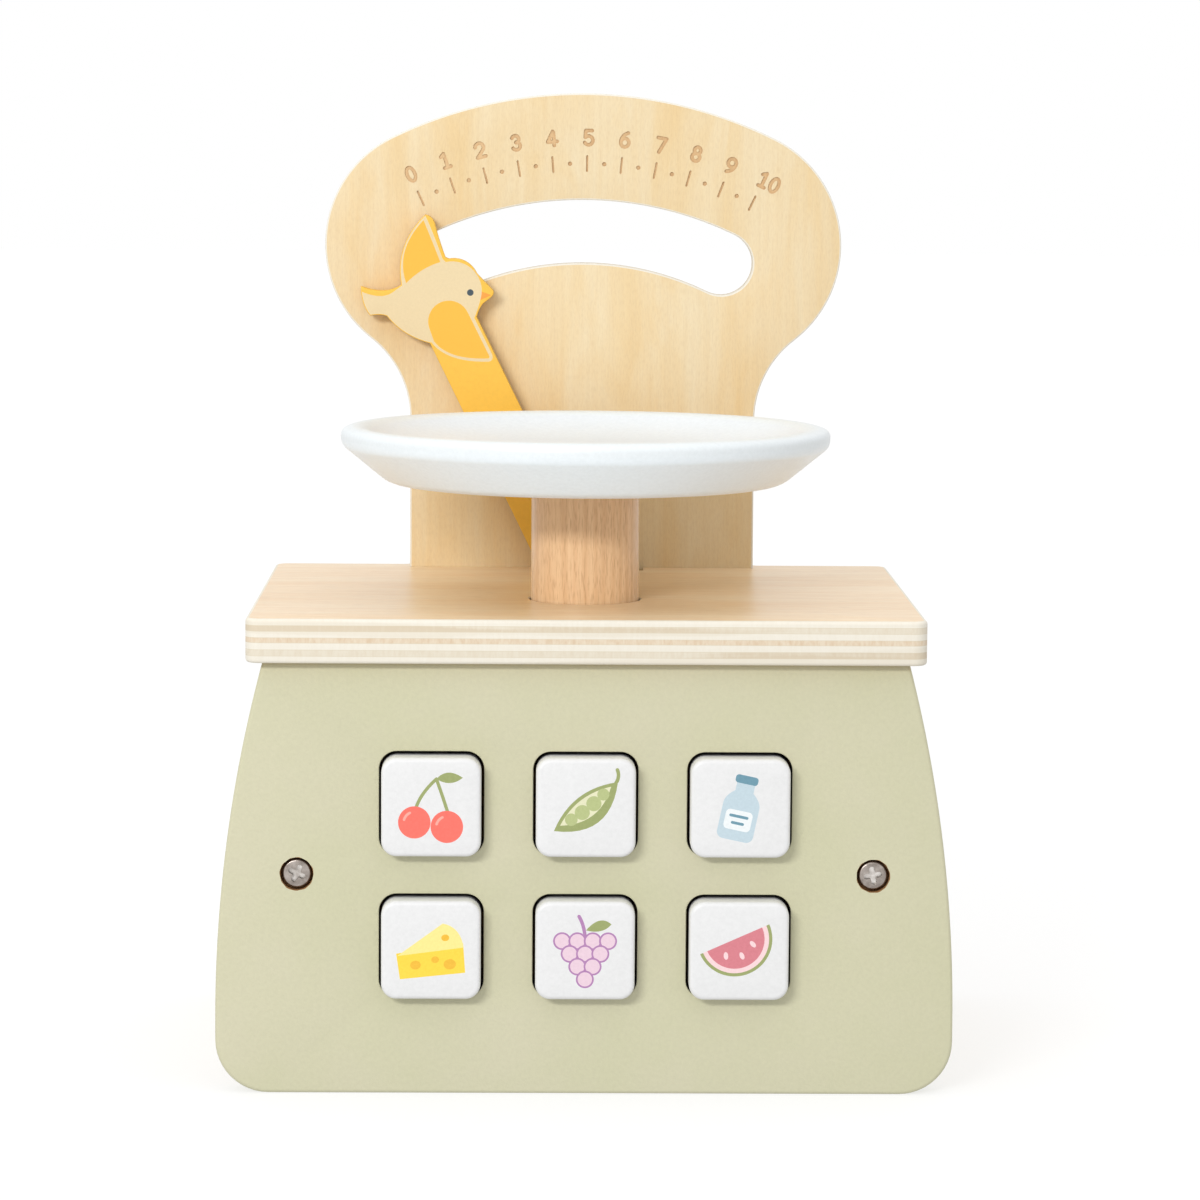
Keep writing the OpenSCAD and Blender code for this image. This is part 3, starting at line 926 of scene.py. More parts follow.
@dataclass(frozen=True)
class Wood(Finish):
    """Bare wood under a thin clear coat: slow streaks, fine fibres and short pores."""

    light: Colour
    dark: Colour
    grain: Axis
    streaks: float = 45
    drawn: float = 0.1
    roughness: float = 0.5
    fibre: float = 0.6
    fibre_scale: float = 1100
    fibre_run: float = 0.03
    fibre_tint: Colour = (216, 198, 176)
    fibre_relief: float = 0.04
    pore: float = 0.4
    pore_scale: float = 1900
    pore_run: float = 0.07
    pore_range: Point = (0.27, 0.37)
    pore_shift: Triple = (0.3, 0.3, 0.3)
    pore_tint: Colour = (176, 140, 106)

    def run(self, sheet: NodeSheet, share: float, shift: Triple = (0, 0, 0)) -> Socket:
        """The place on the piece, scaled by a share along the grain and then shifted."""
        return sheet.stretched(self.grain.picked(share, 1), shift=shift)

    def tone(self, sheet: NodeSheet) -> Socket:
        """The slow change of colour across the board.

        Args:
            sheet: The material's nodes.

        Returns:
            The colour's socket.
        """
        slow = sheet.noise(self.run(sheet, self.drawn), self.streaks, detail=5, roughness=0.6,
                           distortion=0.6)
        return sheet.ramp(slow, [(0.3, self.light), (0.7, self.dark)])

    def mixed(self) -> Material:
        """Builds the material.

        Returns:
            The new material.
        """
        sheet = NodeSheet(self.name, self.roughness)
        fine = sheet.noise(self.run(sheet, self.fibre_run), self.fibre_scale, detail=3, roughness=0.7)
        short = sheet.noise(self.run(sheet, self.pore_run, self.pore_shift), self.pore_scale, detail=1)
        fibres = sheet.veil(fine, [(0.35, self.fibre_tint), (0.62, WHITE)])
        pores = sheet.veil(short, list(zip(self.pore_range, (self.pore_tint, WHITE))))
        colour = sheet.blend(Mixing.TINT, self.fibre, self.tone(sheet), fibres)
        sheet.bump(fine, self.fibre_relief, strength=0.7)
        return sheet.coloured(sheet.blend(Mixing.TINT, self.pore, colour, pores))


@dataclass(frozen=True)
class TurnedWood(Wood):
    """Solid wood cut across its growth rings, which stand off to one side of the piece."""

    heart: Triple = (0.018, 0.03, 0)
    heart_lean: Triple = (2.5, 4, 0)
    ring_scale: float = 150
    ring_run: float = 0.12
    ring_wander: float = 3.5

    def tone(self, sheet: NodeSheet) -> Socket:
        """Growth rings as seen along a sawn or turned side.

        Args:
            sheet: The material's nodes.

        Returns:
            The colour's socket.
        """
        bent = sheet.stretched(Axis.Z.picked(self.ring_run, 1), self.heart_lean, self.heart)
        value = sheet.rings(bent, self.ring_scale, self.ring_wander)
        return sheet.ramp(value, [(0.15, self.light), (0.95, self.dark)])


@dataclass(frozen=True)
class Ply:
    """The colours of one ply at its cut edge."""

    clean: Colour
    stained: Colour


@dataclass(frozen=True)
class PlyEdge(Finish):
    """The cut edge of plywood: pale plies along the edge and tan ones across it."""

    across: Axis
    low: float
    high: float
    plies: tuple[tuple[float, Ply], ...]
    glue: Colour = (219, 207, 182)
    glue_share: float = 0.01
    roughness: float = 0.6
    drawn: float = 0.04
    wave: float = 0.02
    wave_scale: float = 120
    tick_run: float = 0.3
    tick_scale: float = 1500
    tick_share: float = 0.45
    tick_relief: float = 0.04
    patch_shift: Triple = (0.2, 0.2, 0.2)
    patch_scale: float = 300
    patch_share: float = 0.85

    def stops(self, stained: bool) -> list[tuple[float, Colour]]:
        """The plies and the glue lines between them, as stops of a ramp.

        Args:
            stained: Whether the plies are stained or clean.

        Returns:
            Place and colour of each stop.
        """
        found = []
        start = 0.0
        for end, ply in self.plies:
            colour = ply.stained if stained else ply.clean
            found += [(start + self.glue_share, colour), (end - self.glue_share, colour), (end, self.glue)]
            start = end
        return found[:-1]

    def mixed(self) -> Material:
        """Builds the material.

        Returns:
            The new material.
        """
        sheet = NodeSheet(self.name, self.roughness)
        lying = self.across.picked(1, self.drawn)
        waves = sheet.noise(sheet.stretched(lying), self.wave_scale)
        wobble = sheet.spread(waves, (0, 1), (-self.wave, self.wave))
        level = sheet.reckoned(Reckoning.ADD, sheet.height(self.across, self.low, self.high), wobble)
        upright = sheet.stretched(self.across.picked(self.tick_run, 1))
        ticks = sheet.noise(upright, self.tick_scale, roughness=0.6)
        patches = sheet.noise(sheet.stretched(lying, shift=self.patch_shift), self.patch_scale)
        stain = sheet.reckoned(Reckoning.ADD, sheet.spread(ticks, (0.35, 0.7), (0, self.tick_share)),
                               sheet.spread(patches, (0.52, 0.6), (0, self.patch_share)))
        sheet.bump(ticks, self.tick_relief, strength=0.5)
        clean, stained = (sheet.ramp(level, self.stops(choice)) for choice in (False, True))
        return sheet.coloured(sheet.blend(Mixing.COVER, stain, clean, stained))


@dataclass(frozen=True)
class Fibreboard(Finish):
    """Raw fibreboard, fuzzy and speckled."""

    light: Colour
    dark: Colour
    roughness: float = 0.85
    fuzz_scale: float = 2200
    fuzz_relief: float = 0.1

    def mixed(self) -> Material:
        """Builds the material.

        Returns:
            The new material.
        """
        sheet = NodeSheet(self.name, self.roughness)
        fuzz = sheet.noise(sheet.place, self.fuzz_scale, detail=4, roughness=0.7)
        sheet.bump(fuzz, self.fuzz_relief)
        return sheet.coloured(sheet.ramp(fuzz, [(0.35, self.dark), (0.65, self.light)]))


@dataclass(frozen=True)
class Metal(Finish):
    """Plated steel with faint scratches and stains."""

    light: Colour
    dark: Colour
    roughness: float = 0.3
    dulling: float = 0.2
    stain_scale: float = 500
    scratch_scale: float = 4000
    scratch_run: Triple = (1, 0.1, 0.3)
    scratch_relief: float = 0.01

    def mixed(self) -> Material:
        """Builds the material.

        Returns:
            The new material.
        """
        sheet = NodeSheet(self.name, self.roughness, metallic=1)
        stain = sheet.noise(sheet.place, self.stain_scale, detail=4, roughness=0.6)
        scratch = sheet.noise(sheet.stretched(self.scratch_run), self.scratch_scale)
        dull = sheet.spread(stain, (0.3, 0.7), (self.roughness, self.roughness + self.dulling))
        sheet.feed(dull, sheet.surface.inputs["Roughness"])
        sheet.bump(scratch, self.scratch_relief)
        return sheet.coloured(sheet.ramp(stain, [(0.3, self.light), (0.7, self.dark)]))


WHITE_PLY = Ply((239, 233, 219), (233, 225, 208))
TAN_PLY = Ply((230, 221, 202), (217, 202, 177))
BROWN_PLY = Ply((231, 215, 191), (207, 172, 132))

GREEN_PAINT = Paint("green_satin_paint", (211, 207, 177), (207, 205, 171), roughness=0.5, dimple=0.06)
WHITE_PAINT = Paint("white_satin_paint", (236, 236, 236), (235, 235, 235), roughness=0.4, dimple=0.03)
DISH_INSIDE = Paint("white_dish_inside", (236, 241, 245), (234, 239, 243), roughness=0.35, dimple=0.02)
YELLOW_PAINT = Paint("yellow_satin_paint", (253, 198, 74), (251, 195, 68), dimple=0.03)
DIAL_FACE = Wood("dial_veneer", (239, 221, 184), (235, 206, 154), Axis.Z, streaks=90, drawn=0.22,
                 fibre=0.1, pore=0.07, pore_scale=2800, pore_run=0.25, pore_range=(0.32, 0.56))
PLATE_FACE = Wood("plate_veneer", (251, 228, 193), (244, 210, 166), Axis.X, streaks=90, drawn=0.15,
                  roughness=0.33, fibre=0.18, pore=0.14, pore_scale=2600, pore_run=0.1,
                  pore_range=(0.3, 0.48))
BODY_FACE = Wood("body_veneer", (239, 221, 185), (233, 205, 158), Axis.Y, streaks=70, drawn=0.18,
                 fibre=0.15, pore=0.08)
BURN_FLOOR = Wood("burnt_floor", (236, 202, 152), (226, 186, 134), Axis.Z, streaks=60, fibre=0.3, pore=0.2)
BURN_WALL = Wood("burnt_wall", (190, 146, 94), (172, 126, 76), Axis.Z, streaks=60, fibre=0.4, pore=0.2)
PILLAR_WOOD = TurnedWood("pillar_wood", (243, 206, 162), (237, 197, 152), Axis.Z, roughness=0.25,
                         fibre=0.2, pore=0.3, pore_scale=4200, pore_run=0.09, pore_range=(0.28, 0.5))
DOWEL_WOOD = TurnedWood("dowel_wood", (220, 184, 142), (205, 162, 118), Axis.Z)
BROWN_BOARD = Fibreboard("brown_fibreboard", (176, 130, 82), (138, 96, 54))
# Near-black walls of the cut holes: partly the scorch of the cut, partly painted shade in the button gaps.
SCORCHED_AND_SHADED_BOARD = Fibreboard("scorched_and_shaded_fibreboard", (40, 30, 23), (22, 16, 12))
SCREW_STEEL = Metal("screw_steel", (184, 175, 168), (126, 117, 110))
# The cross's floor is a painted highlight and its walls painted shade: lit and shaded copies of the screw
# steel.
CROSS_FLOOR_HIGHLIGHT = Metal("cross_floor_highlight_steel", (246, 241, 236), (170, 162, 155))
CROSS_WALL_SHADE = Metal("cross_wall_shaded_steel", (120, 112, 104), (70, 64, 58), roughness=0.4)
SPRING_STEEL = Metal("spring_steel", (214, 214, 218), (166, 166, 172), roughness=0.25)
CREAM_INK = Ink("cream_ink", (232, 210, 166), lift=5)
WING_INK = Ink("wing_ink", (249, 188, 65), lift=2)
BEAK_INK = Ink("beak_ink", (252, 156, 62))
EYE_INK = Ink("eye_ink", (62, 76, 84))
CORAL_INK = Ink("coral_ink", (246, 112, 98))
CORAL_LIGHT_INK = Ink("light_coral_ink", (252, 168, 154))
LEAF_INK = Ink("leaf_ink", (152, 162, 102))
PEA_INK = Ink("pea_ink", (180, 190, 130))
PALE_GREEN_INK = Ink("pale_green_ink", (226, 225, 188))
SKY_INK = Ink("sky_ink", (192, 211, 220))
BLUE_INK = Ink("blue_ink", (104, 148, 166))
LABEL_INK = Ink("label_ink", (236, 241, 242))
SUN_INK = Ink("sun_ink", (253, 214, 66))
AMBER_INK = Ink("amber_ink", (240, 186, 52))
CREAM_YELLOW_INK = Ink("pale_yellow_ink", (255, 232, 142))
LILAC_INK = Ink("lilac_ink", (233, 204, 218))
PLUM_INK = Ink("plum_ink", (176, 126, 176))
ROSE_INK = Ink("rose_ink", (214, 125, 135))
BLUSH_INK = Ink("blush_ink", (245, 212, 214))


def body_of(node: str) -> str:
    """Name of the body that carries a construction node."""
    bodies = frame["record"]["behaviour"]["bodies"]
    return next(body for body, nodes in bodies.items() if node in nodes)


def seat(piece: SceneObject, slot: str, *nodes: str) -> None:
    """Lets a piece stand for construction nodes and ride on their body.

    Args:
        piece: The finished piece.
        slot: The record's material slot of its finish; not used.
        nodes: The construction nodes.
    """
    body = body_of(nodes[0])
    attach(piece, body)
    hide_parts(*nodes)
    LOG.info("%s: %d faces, rides on %s", piece.name, len(piece.data.polygons), body)


@dataclass(frozen=True)
class Bell:
    """The bell outline that the front panel and the back board share."""

    width: float
    height: float
    top_width: float = 144.6
    widest_height: float = 16
    foot_radius: float = 12

    def right_side(self) -> list[Point]:
        """The right half from the floor to the top edge.

        Returns:
            Its points from the floor up.
        """
        half = self.width / 2
        lean = half - self.top_width / 2
        rise = self.height - self.widest_height
        radius = (lean ** 2 + rise ** 2) / (2 * lean)
        foot = arc((half - self.foot_radius, self.foot_radius), self.foot_radius, -90, 0, 12)
        end = math.degrees(math.asin(rise / radius))
        return foot + arc((half - radius, self.widest_height), radius, 0, end, 24)


def both_sides(right: Sequence[Point]) -> Outline:
    """Closes a right half from bottom to top with its mirror image."""
    return Outline.through(right, [(-x, y) for x, y in reversed(right)])


def screw_pair(node: str) -> list[Point]:
    """Where the axes of a left and a right screw meet the board that they hold.

    Args:
        node: The construction node of both screws.

    Returns:
        The left point and the right one.
    """
    screws = Extent.of(node)
    shift = screws.high[0] - screws.size(Axis.Z) / 2
    return [(side * shift, screws.middle(Axis.Z)) for side in (-1, 1)]


@dataclass(frozen=True)
class GreenPanel:
    """The bell-shaped front panel with six button holes and two counterbored screw holes."""

    buttons: int = 6
    button_gap: float = 0.6
    button_radius: float = 3.4
    button_drop: float = 0.2
    bore_width: float = 7.4
    bore_depth: float = 3
    chip: float = 0.16
    chip_depth: float = 0.12
    chip_steps: int = 72
    chip_waves: Point = (7, 0.3)
    ease: float = 0.9

    def hole(self, index: int) -> Outline:
        """The hole round one button.

        Args:
            index: Number of the button.

        Returns:
            The hole's outline.
        """
        cap = Extent.of(f"button_cap_{index}")
        side = cap.size(Axis.X) + 2 * self.button_gap
        middle = (cap.middle(Axis.X), cap.middle(Axis.Z) + self.button_drop)
        return Outline.rounded_box(middle, side, side, self.button_radius + self.button_gap)

    def ragged(self, middle: Point, phase: float) -> Outline:
        """The chipped rim of a counterbore.

        Args:
            middle: Middle of the counterbore.
            phase: Shift of the chips, so that no two rims are alike.

        Returns:
            The rim's outline.
        """
        fast, slow = self.chip_waves
        line = []
        for i in range(self.chip_steps):
            wave = math.sin(fast * i + phase) * math.sin(slow * i)
            reach = self.bore_width / 2 + self.chip * (1 + wave) / 2
            line.append(polar(middle, reach, 360 * i / self.chip_steps))
        return Outline.through(line)

    def bores(self) -> list[Recess]:
        """The counterbores, each with a ragged rim of bare board round it.

        Returns:
            The recesses, each rim before its bore.
        """
        found = []
        for phase, middle in zip((-1, 1), screw_pair("front_screws")):
            bore = Outline.circle(middle, self.bore_width / 2)
            found.append(Recess(self.ragged(middle, phase), self.chip_depth, BROWN_BOARD, BROWN_BOARD))
            found.append(Recess(bore, self.bore_depth, BROWN_BOARD, BROWN_BOARD))
        return found

    def build(self) -> None:
        """Builds and seats the panel."""
        panel = Extent.of("front_panel")
        bell = Bell(panel.size(Axis.X), panel.size(Axis.Z))
        maker = MeshMaker(Facing.FRONT, panel.low[1])
        # The button holes' walls are near black, partly scorched cut and partly painted shade.
        Slab(both_sides(bell.right_side()), panel.size(Axis.Y), self.ease, GREEN_PAINT, hole=SCORCHED_AND_SHADED_BOARD,
             holes=tuple(self.hole(i + 1) for i in range(self.buttons)),
             recesses=tuple(self.bores())).draw(maker)
        seat(maker.piece("green_panel"), "green_paint", "front_panel")


@dataclass(frozen=True)
class Numeral:
    """One figure of the dial, drawn as strokes in a box one unit high."""

    digit: int
    stroke: float = 0.21

    def strokes(self) -> list[list[Point]]:
        """The open strokes of the figure.

        Returns:
            The points of each stroke.
        """
        up, low = 0.9, 0.1
        return {
            0: [],
            1: [[(-0.16, 0.76), (0.04, up)], [(0.04, up), (0.04, low)], [(-0.15, low), (0.22, low)]],
            2: [arc((0, 0.66), 0.24, 170, -38), [(0.19, 0.51), (-0.23, low)],
                [(-0.23, low), (0.25, low)]],
            3: [arc((0, 0.7), 0.2, 155, -85), arc((0, 0.31), 0.22, 85, -155)],
            4: [[(0.06, up), (-0.26, 0.32)], [(-0.26, 0.32), (0.28, 0.32)], [(0.1, 0.86), (0.1, low)]],
            5: [[(0.2, up), (-0.16, up)], [(-0.16, up), (-0.19, 0.52)],
                arc((0, 0.34), 0.25, 135, -150)],
            6: [bend((-0.23, 0.34), (-0.24, 0.74), (0.15, up))],
            7: [[(-0.24, up), (0.24, up)], [(0.24, up), (-0.06, low)]],
            8: [],
            9: [bend((0.23, 0.66), (0.24, 0.26), (-0.15, low))],
        }[self.digit]

    def rings(self) -> list[tuple[Point, float, float]]:
        """The closed strokes of the figure.

        Returns:
            Centre, half width and half height of each stroke.
        """
        return {
            0: [((0, 0.5), 0.22, 0.4)],
            6: [((0, 0.34), 0.23, 0.24)],
            8: [((0, 0.7), 0.18, 0.19), ((0, 0.31), 0.22, 0.22)],
            9: [((0, 0.66), 0.23, 0.24)],
        }.get(self.digit, [])

    def shapes(self) -> list[tuple[Outline, bool]]:
        """The figure, with the islands in it.

        Returns:
            Each outline, with whether it is burnt or left standing.
        """
        half = self.stroke / 2
        burnt = [(Outline.ribbon(line, self.stroke, 6), True) for line in self.strokes()]
        burnt += [(Outline.oval(c, w + half, h + half), True) for c, w, h in self.rings()]
        return burnt + [(Outline.oval(c, w - half, h - half), False) for c, w, h in self.rings()]


@dataclass(frozen=True)
class DialBoard:
    """The back board with its dial head, window and burnt scale."""

    head_width: float = 127
    head_rise: float = 79.6
    lobe_radius: float = 29.2
    neck_width: float = 85
    neck_radius: float = 25
    crown_rise: float = 9.7
    scale_rise: float = 4
    scale_turn: float = 0.47
    tick_radius: float = 95.65
    tick_length: float = 3.6
    tick_width: float = 0.5
    dot_width: float = 1.05
    half_angle: float = 25.2
    figure_radius: float = 102
    figure_height: float = 4.3
    figure_pitch: float = 3
    figure_shift: float = 0.27
    pair_shift: float = 1.2
    last_figure: int = 10
    burn_depth: float = 0.35
    window_radius: float = 79
    window_width: float = 15.5
    window_half_angle: float = 25.5
    bore_width: float = 7.4
    bore_depth: float = 2.6
    ease: float = 0.4

    def centre(self) -> Point:
        """Centre of the number scale."""
        return 0.0, Extent.of("top_plate").high[2] + self.scale_rise

    def outline(self) -> Outline:
        """Bell, neck and head in one line.

        Returns:
            The board's outline.
        """
        board, panel, plate = (Extent.of(n) for n in ("back_board", "front_panel", "top_plate"))
        bell = Bell(board.size(Axis.X), panel.size(Axis.Z)).right_side()
        neck = self.neck_width / 2
        lobe = (self.head_width / 2 - self.lobe_radius, plate.high[2] + self.head_rise)
        reach = self.lobe_radius + self.neck_radius
        hollow_x = neck + self.neck_radius
        drop = math.sqrt(reach ** 2 - (hollow_x - lobe[0]) ** 2)
        hollow = (hollow_x, lobe[1] - drop)
        tangent = math.degrees(math.atan2(drop, lobe[0] - hollow_x))
        centre = (0.0, plate.high[2] + self.crown_rise)
        crown = math.degrees(math.atan2(lobe[1] - centre[1], lobe[0]))
        crown_radius = math.dist(centre, lobe) + self.lobe_radius
        return both_sides(
            bell + [(neck, panel.high[2])] + arc(hollow, self.neck_radius, 180, tangent, 14)
            + arc(lobe, self.lobe_radius, tangent - 180, crown, 36)
            + arc(centre, crown_radius, crown, 90, 24))

    def window(self) -> Outline:
        """The curved window under the scale.

        Returns:
            The window's outline.
        """
        path = arc(self.centre(), self.window_radius, 90 + self.window_half_angle,
                   90 - self.window_half_angle, 48)
        return Outline.ribbon(path, self.window_width, 20)

    def marks(self) -> list[tuple[Outline, bool]]:
        """Ticks, dots and figures of the scale.

        Returns:
            Each outline, with whether it is burnt or left standing.
        """
        centre = self.centre()
        step = 2 * self.half_angle / self.last_figure
        found = []
        for i in range(self.last_figure + 1):
            lean = i * step - self.half_angle + self.scale_turn
            ends = [polar(centre, self.tick_radius + s * self.tick_length / 2, 90 - lean) for s in (-1, 1)]
            found.append((Outline.ribbon(ends, self.tick_width, 6), True))
            if i < self.last_figure:
                dot = polar(centre, self.tick_radius, 90 - lean - step / 2)
                found.append((Outline.circle(dot, self.dot_width / 2, 20), True))
            text = str(i)
            for place, letter in enumerate(text):
                shift = self.figure_shift + place * self.figure_pitch
                shift += (len(text) - 1) * (self.pair_shift - self.figure_pitch / 2)
                tilt = lean + math.degrees(shift / self.figure_radius)
                foot = polar(centre, self.figure_radius - self.figure_height / 2, 90 - tilt)
                found += [(shape.placed(foot, -tilt, self.figure_height), burnt)
                          for shape, burnt in Numeral(int(letter)).shapes()]
        return found

    def bores(self, wood: Finish) -> list[Recess]:
        """The counterbores of the rear screws.

        Args:
            wood: Finish of the cut wood.

        Returns:
            The recesses of the rear face.
        """
        return [Recess(Outline.circle(middle, self.bore_width / 2), self.bore_depth, wood, wood)
                for middle in screw_pair("rear_screws")]

    def build(self) -> None:
        """Builds and seats the board."""
        board = Extent.of("back_board")
        cut = PlyEdge("dial_ply_edge", Axis.Y, board.low[1], board.high[1], (
            (0.18, WHITE_PLY), (0.4, TAN_PLY), (0.6, WHITE_PLY), (0.82, TAN_PLY), (1.0, WHITE_PLY)))
        burns = tuple(Recess(shape, self.burn_depth, BURN_FLOOR, BURN_WALL) if burnt
                      else Recess(shape, 0.0, DIAL_FACE, DIAL_FACE) for shape, burnt in self.marks())
        maker = MeshMaker(Facing.FRONT, board.low[1])
        Slab(self.outline(), board.size(Axis.Y), self.ease, DIAL_FACE, edge=cut, holes=(self.window(),),
             hole_ease=self.ease, recesses=burns, rear_recesses=tuple(self.bores(cut))).draw(maker)
        seat(maker.piece("dial_board"), "dial_birch", "back_board")


@dataclass(frozen=True)
class BirdPointer:
    """The yellow pointer: hidden cam tail, arm and a flat bird with its print."""

    lean: float = 26.2
    offset: float = 3.6
    width: float = 13.1
    length: float = 82
    boss_radius: float = 9
    cam_start: float = 14
    cam_travel: float = 15
    cam_turn: float = 42.57
    cam_slot: float = 4.6
    cam_wall: float = 4.5
    pivot_hole: float = 4.3
    eye: Point = (-27.7, 64.1)
    eye_radius: float = 0.8
    ease: float = 0.2

    def bird(self) -> Outline:
        """The bird, seen from the centre of the scale.

        Returns:
            The bird's outline.
        """
        tip, back, tail, rump = (-38.8, 83), (-44.6, 65.8), (-54.5, 65.4), (-52.2, 58.3)
        belly, side = (-48.1, 58.2), (-36.5, 81)
        return Outline.through(
            bend(tip, (-46.4, 75.6), back),
            bend(back, (-48.6, 63.2), tail, 8),
            bend(tail, (-54.4, 60.8), rump, 6),
            bend(rump, (-49.6, 58.8), belly, 5),
            bend(belly, (-44.2, 53.2), (-37.4, 51.6), 10),
            bend((-26.05, 58.3), (-25.7, 59.9), (-24.6, 61.4), 5),
            bend((-22.7, 62.9), (-21.6, 63.8), (-22.2, 64.7), 5),
            arc((-31.8, 66.15), 6.25, 24, 101, 16),
            bend((-33.85, 72.65), (-35.5, 77), side, 6),
            bend(side, (-37.1, 82.7), tip, 5))

    def plumage(self) -> Outline:
        """The cream print, which hangs over the bird's left and lower edge.

        Returns:
            The print's outline.
        """
        return Outline.through(
            bend((-38.7, 82.7), (-36.9, 78.9), (-34.5, 72.3), 8),
            arc((-32.1, 64.5), 7.2, 103, -20, 16),
            bend((-25.3, 62), (-26, 59.6), (-26.7, 57.9), 4),
            bend((-22.25, 48.9), (-21.9, 47.3), (-23.2, 47.2), 4),
            bend((-23.2, 47.2), (-33.5, 46.9), (-37.3, 52)),
            [(-38, 50.5), (-49, 56), (-53, 57), (-56, 60), (-56, 64.5)],
            bend((-54.8, 64.4), (-49.8, 62.1), (-46.9, 63.9), 8),
            [(-44.9, 65.4), (-46.5, 66), (-47, 74), (-41, 82.8), (-39.3, 83.4)])

    def raised_wing(self) -> Outline:
        """The print on the raised wing.

        Returns:
            The print's outline.
        """
        tip, front, rear = (-39.2, 81.7), (-35.05, 71.5), (-43.4, 66.3)
        return Outline.through(
            bend(tip, (-37.3, 77.2), front, 8),
            bend(front, (-39.6, 70.2), rear, 8),
            bend(rear, (-46.2, 74.2), tip))

    def folded_wing(self) -> Outline:
        """The print on the folded wing, which runs out over the arm.

        Returns:
            The print's outline.
        """
        return Outline.through(
            arc((-32.9, 57), 5.1, 200, 26, 18),
            [(-22.9, 48.4)],
            bend((-23.1, 48), (-33.2, 47.5), (-36.6, 52.2)))

    def arm(self) -> Outline:
        """The straight arm, seen from the pivot.

        Returns:
            The arm's outline.
        """
        left, right = self.offset - self.width / 2, self.offset + self.width / 2
        shape = Outline.through([(left, 0), (right, 0), (right, self.length), (left, self.length)])
        return shape.placed(turn=self.lean)

    def cam(self) -> list[Point]:
        """The drive pin's path, seen from the pivot.

        Returns:
            Points of the path, from rest to the end of the travel.
        """
        steps = 20
        return [polar((0, 0), self.cam_start + self.cam_travel * i / steps,
                      self.cam_turn * i / steps - 90) for i in range(steps + 1)]

    def outline(self, rise: float) -> Outline:
        """The whole pointer, seen from the pivot.

        Args:
            rise: Height of the scale's centre above the pivot.

        Returns:
            The outline of all its parts together.
        """
        cam = self.cam()
        width = self.cam_slot + 2 * self.cam_wall
        return Tiling([
            self.arm(), self.bird().placed((0, rise)), Outline.circle((0, 0), self.boss_radius),
            Outline.through([(0.0, 0.0)], cam), Outline.ribbon(cam, width),
            Outline.ribbon([(0, 0), cam[0]], width), Outline.ribbon([(0, 0), cam[-1]], width),
        ]).rim()

    def prints(self, rise: float) -> list[Print]:
        """The bird's print, seen from the pivot.

        Args:
            rise: Height of the scale's centre above the pivot.

        Returns:
            The layers from the lowest up.
        """
        beak = Outline.through([(-25.6, 64.6), (-22.5, 63.5), (-25.6, 62.1)])
        eye = Outline.circle(self.eye, self.eye_radius, 24)
        layers = [Print(beak, BEAK_INK), Print(self.plumage(), CREAM_INK),
                  Print(self.folded_wing(), WING_INK), Print(self.raised_wing(), WING_INK),
                  Print(eye, EYE_INK)]
        return [layer.placed((0, rise)) for layer in layers]

    def build(self) -> None:
        """Builds and seats the pointer."""
        pointer, pivot = Extent.of("pointer"), Extent.of("pivot_screw").middle(Axis.Z)
        rise = DialBoard().centre()[1] - pivot
        at = (0.0, pivot)
        holes = (Outline.circle(at, self.pivot_hole / 2, 32),
                 Outline.ribbon(self.cam(), self.cam_slot).placed(at))
        maker = MeshMaker(Facing.FRONT, pointer.low[1])
        Slab(self.outline(rise).placed(at), pointer.size(Axis.Y), self.ease, YELLOW_PAINT,
             holes=holes, hole_ease=self.ease,
             prints=tuple(layer.placed(at) for layer in self.prints(rise))).draw(maker)
        seat(maker.piece("bird_pointer"), "yellow_paint", "pointer")


